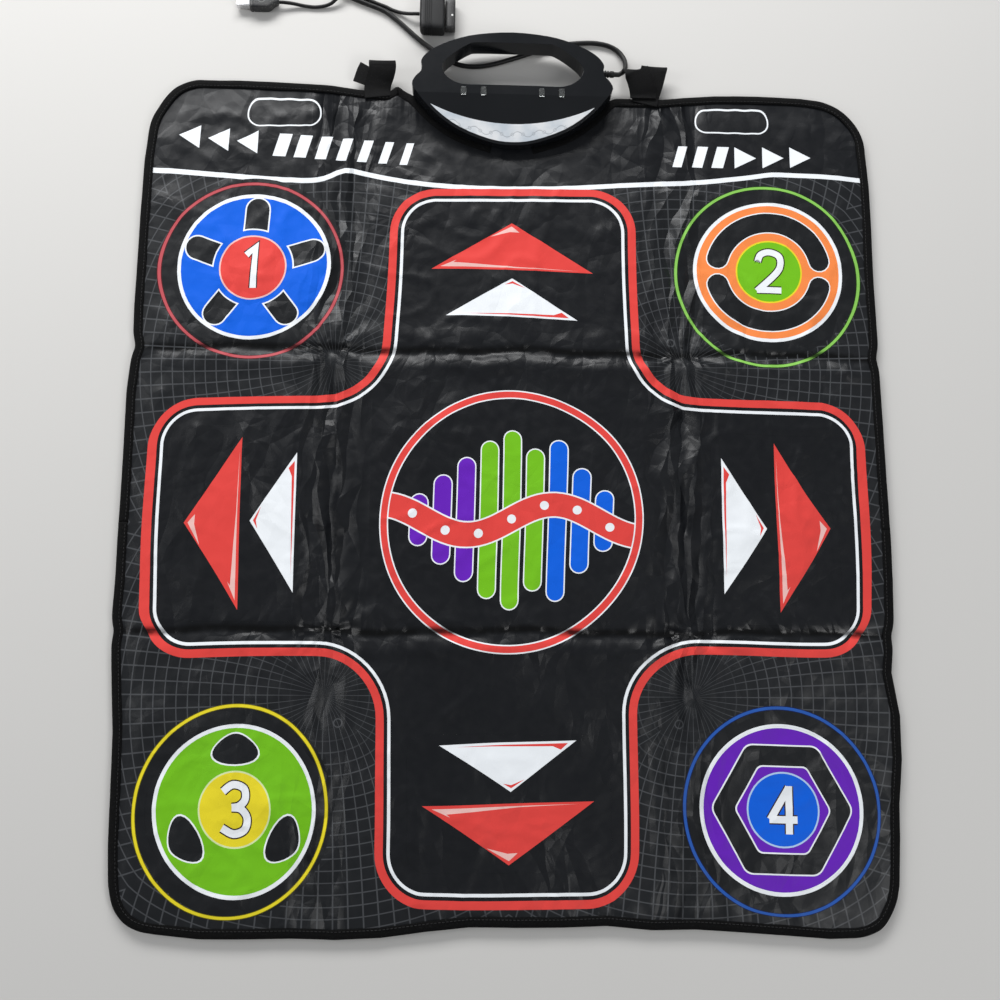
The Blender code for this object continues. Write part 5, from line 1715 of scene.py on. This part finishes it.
def sewn_tape(name, path, seed):
    """The folded tape along one part of the edge, with its row of stitches."""
    path = [settled(p) for p in evenly(path, TAPE_STEP)]
    section = [(d * TENTH, z * TENTH) for d, z in TAPE_OUTSIDE + TAPE_INSIDE]
    points = []
    for i, (p, way) in enumerate(zip(path, directions(path))):
        s, near_box = i * TAPE_STEP, close_to_box(p)
        wave_high = 0.00045 * noise.noise((s * 75, seed, 0.5)) + 0.0004 * noise.noise((s * 21, seed, 4.5))
        wave_in = 0.0006 * noise.noise((s * 45, seed, 8.5))
        if near_box > 0:
            wave_high = wave_high * 0.2 - 0.0007 * near_box
        for d, z in section:
            upper = ease(z, 0.0045, 0.0075)
            q = p + Vector((-way.y, way.x)) * (d + (wave_in if d > 0.004 and z > 0.004 else 0.0))
            points.append(Vector((q.x, q.y, z + upper * (wave_high + 0.0030 * hump(p.x, p.y - 0.006)))))
    faces = skin(len(path), len(section))
    tape_faces = len(faces)
    seam = evenly(inset(path, SEAM_INSET, closed=False), STITCH_PITCH)
    for p, way in list(zip(seam, directions(seam)))[1:-1]:
        if close_to_box(p) <= 0.2:
            stitch_shape(Vector((p.x, p.y, 0.0089)), Vector((way.x, way.y, 0)), points, faces)
    made = new_piece(name, points, faces, tape_cloth, thread)
    made.data.polygons.foreach_set("material_index", [int(k >= tape_faces) for k in range(len(faces))])
    return made


right_edge = rear_edge(ROW_SPLIT, BINDING_STOP)
tapes = (
    ("tape_rear_right", right_edge, "rear", ("head_binding_right", "middle_binding_right")),
    ("tape_rear_left", flipped(right_edge), "rear", ("head_binding_left", "middle_binding_left")),
    ("tape_front", front_edge(ROW_SPLIT), "front", ("foot_binding",)),
)
for number, (name, path, half, nodes) in enumerate(tapes):
    tape = sewn_tape(name, path, number + 0.5)
    bend(tape, half)
    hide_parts(*nodes)
    print(name, len(tape.data.polygons), "faces")

# %% [markdown]
# ## Tie straps
#
# Two short webbing straps are sewn to the rear edge, to hold the mat when it is rolled. They stand up and
# flop over. A strap is a flat section carried along a curve, so it is made as rings of points and not as a
# bent plate.

# %% Webbing
STRAP_WIDTH = 0.030
STRAP_THICK = 0.0016
STRAP_ROUND = 0.0006
STRAP_X = 0.1535


def ribbon(name, paths, material):
    """Flat bands with soft edges along paths, their width across the mat."""
    section = []
    for sx, sz in ((1, 1), (-1, 1), (-1, -1), (1, -1)):
        for a in ((0.0, 0.5, 1.0) if sx * sz > 0 else (1.0, 0.5, 0.0)):
            u = STRAP_WIDTH / 2 - STRAP_ROUND + STRAP_ROUND * math.cos(a * math.pi / 2)
            v = STRAP_THICK / 2 - STRAP_ROUND + STRAP_ROUND * math.sin(a * math.pi / 2)
            section.append((sx * u, sz * v))
    points, faces = [], []
    for path in paths:
        faces += skin(len(path), len(section), len(points))
        for p, way in zip(path, directions(path)):
            side = (Vector((1, 0, 0)) - way * way.x).normalized()
            up = side.cross(way).normalized()
            points += [p + side * u + up * v for u, v in section]
    return new_piece(name, points, faces, material)


print("webbing:", STRAP_WIDTH, "m wide and", STRAP_THICK, "m thick")

# %% [markdown]
# Each strap is two tabs sewn into one seam, given as (across, back, up) in tenths of a millimetre. On the
# left one tab rises and curls over, with the other one below it, turned outwards. On the right one is folded
# back, and the other leans over it.

# %% Strap paths
STRAP_PATHS = {
    "left": (
        ((0, 0, 0), (4, 90, 3), (30, 170, 38), (72, 240, 82), (98, 300, 112), (102, 345, 120),
         (100, 375, 103), (96, 382, 72), (92, 362, 47), (88, 325, 40)),
        ((-125, 175, -20), (-95, 235, -8), (-60, 300, 10), (-25, 350, 22)),
    ),
    "right": (
        ((0, 0, 0), (18, 100, 2), (50, 230, 30), (80, 380, 62), (90, 425, 62), (93, 440, 44), (90, 425, 24),
         (80, 360, 8), (60, 260, -10)),
        ((-20, 62, 18), (-24, 105, 28), (-42, 170, 62), (-78, 255, 100), (-118, 325, 122), (-136, 352, 112),
         (-140, 360, 90)),
    ),
}
for side, x, lean in (("left", -STRAP_X, 8), ("right", STRAP_X, -3)):
    seam = Vector((x, REAR_Y - 0.0080, LIP_TOP + 0.0003 + STRAP_THICK / 2))
    paths = []
    for table in STRAP_PATHS[side]:
        path = [p * TENTH for p in smooth(table, 5)]
        paths.append([seam + Vector((*turned(p, math.radians(lean)), p.z)) for p in path])
    length = round(sum(length_of(path) for path in paths), 3)
    strap = ribbon("tie_strap_" + side, paths, webbing)
    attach(strap, "strap_" + side + "_body")
    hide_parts("strap_" + side)
    print("strap", side, length, "m long")

# %% [markdown]
# ## The control box
#
# The box keeps its CAD shape: two moulded shells with a hand hole, a pearl-white crescent panel let into its
# sloping front, and four clear tabs over its lights. The black plastic is moulded glossy, with only a trace
# of grain, so it shows its surroundings as a soft sheen that is clouded where hands have rubbed it.

# %% Box finishes
def coat(material, *names):
    """Gives CAD pieces this finish."""
    for name in names:
        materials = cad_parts[name].data.materials
        materials.clear()
        materials.append(material)


box_plastic, shader, where = new_material("box_plastic", 0.16, Specular_IOR_Level=0.40)
cloudy, rubbed, fine = clouds(where, 14.0), clouds(where, 260.0, 2.0), clouds(where, 2400.0, 2.0)
dress(
    shader, fine, 0.000003, Base_Color=mixed(cloudy, (0.0050, 0.0058, 0.0070), (0.0090, 0.0100, 0.0120)),
    Roughness=(cloudy + rubbed * 0.25).between(0.4, 0.8, 0.11, 0.20),
)
coat(box_plastic, "upper_shell", "lower_shell")

clear, shader, where = new_material("clear_tab", 0.05, Transmission_Weight=0.95, IOR=1.47)
flow = clouds(where, 300.0, 2.0)
dress(
    shader, flow, 0.00002, Base_Color=mixed(flow, (0.90, 0.93, 0.92), (0.78, 0.82, 0.82)),
    Roughness=flow.between(0.3, 0.7, 0.03, 0.08),
)
coat(clear, *("light_tab_%d" % k for k in (1, 2, 3, 4)))

steel = brushed_metal("screw_steel", 900.0, (0.62, 0.62, 0.63), (0.45, 0.45, 0.46), 0.22, 0.42, 0.00003)
coat(steel, "box_screw_left", "box_screw_right")

board, shader, where = new_material("circuit_board", 0.42)
brick = put(where.tree, "TexBrick", {"Vector": where, "Scale": 160.0, "Mortar Size": 0.03})
tracks = Value(brick.outputs["Fac"])
dress(shader, tracks, 0.00004, Base_Color=mixed(tracks, (0.01, 0.12, 0.045), (0.05, 0.28, 0.10)))
coat(board, "circuit_board")
print("finishes of the box:", box_plastic.name, clear.name, steel.name, board.name)

# %% [markdown]
# The crescent is a pearly plastic under a clear coat. A fine etched line swings along its middle, with a row
# of small rings on it. Both follow the crescent's own bow, which is a parabola.

# %% Crescent panel
ETCH_Y = REAR_Y - 0.0570
ETCH_RATE = 260.0
pearl, shader, where = new_material("pearl_panel", 0.26, Coat_Weight=0.5, Coat_Roughness=0.12)
milky = clouds(where, 42.0, 4.0).between(0.36, 0.62)
across, along, _ = split(where)
bow = across * across * 2.6
swing = (across * ETCH_RATE).math("SINE") * 0.0030
swung = abs(along - (swing + bow + ETCH_Y)).between(0.0003, 0.0007, 1.0, 0.0)
etched_line = swung * abs(across).between(0.070, 0.074, 1.0, 0.0)
from_ring = far_from(across.math("PINGPONG", math.pi / (2 * ETCH_RATE)), along - (bow + ETCH_Y), 0.0, 0.0)
near_ring = abs(from_ring - 0.0016).between(0.0002, 0.0005, 1.0, 0.0)
rings = near_ring * abs(across).between(0.060, 0.062, 1.0, 0.0)
etched = etched_line.math("MAXIMUM", rings)
shine = mixed(milky, (0.60, 0.66, 0.72), (0.84, 0.86, 0.88))
dress(shader, etched * -1.0, 0.0001, Base_Color=mixed(etched * 0.55, shine, (0.30, 0.33, 0.36)))
coat(pearl, "crescent_panel")
print("nodes in the pearl:", len(where.tree.nodes))
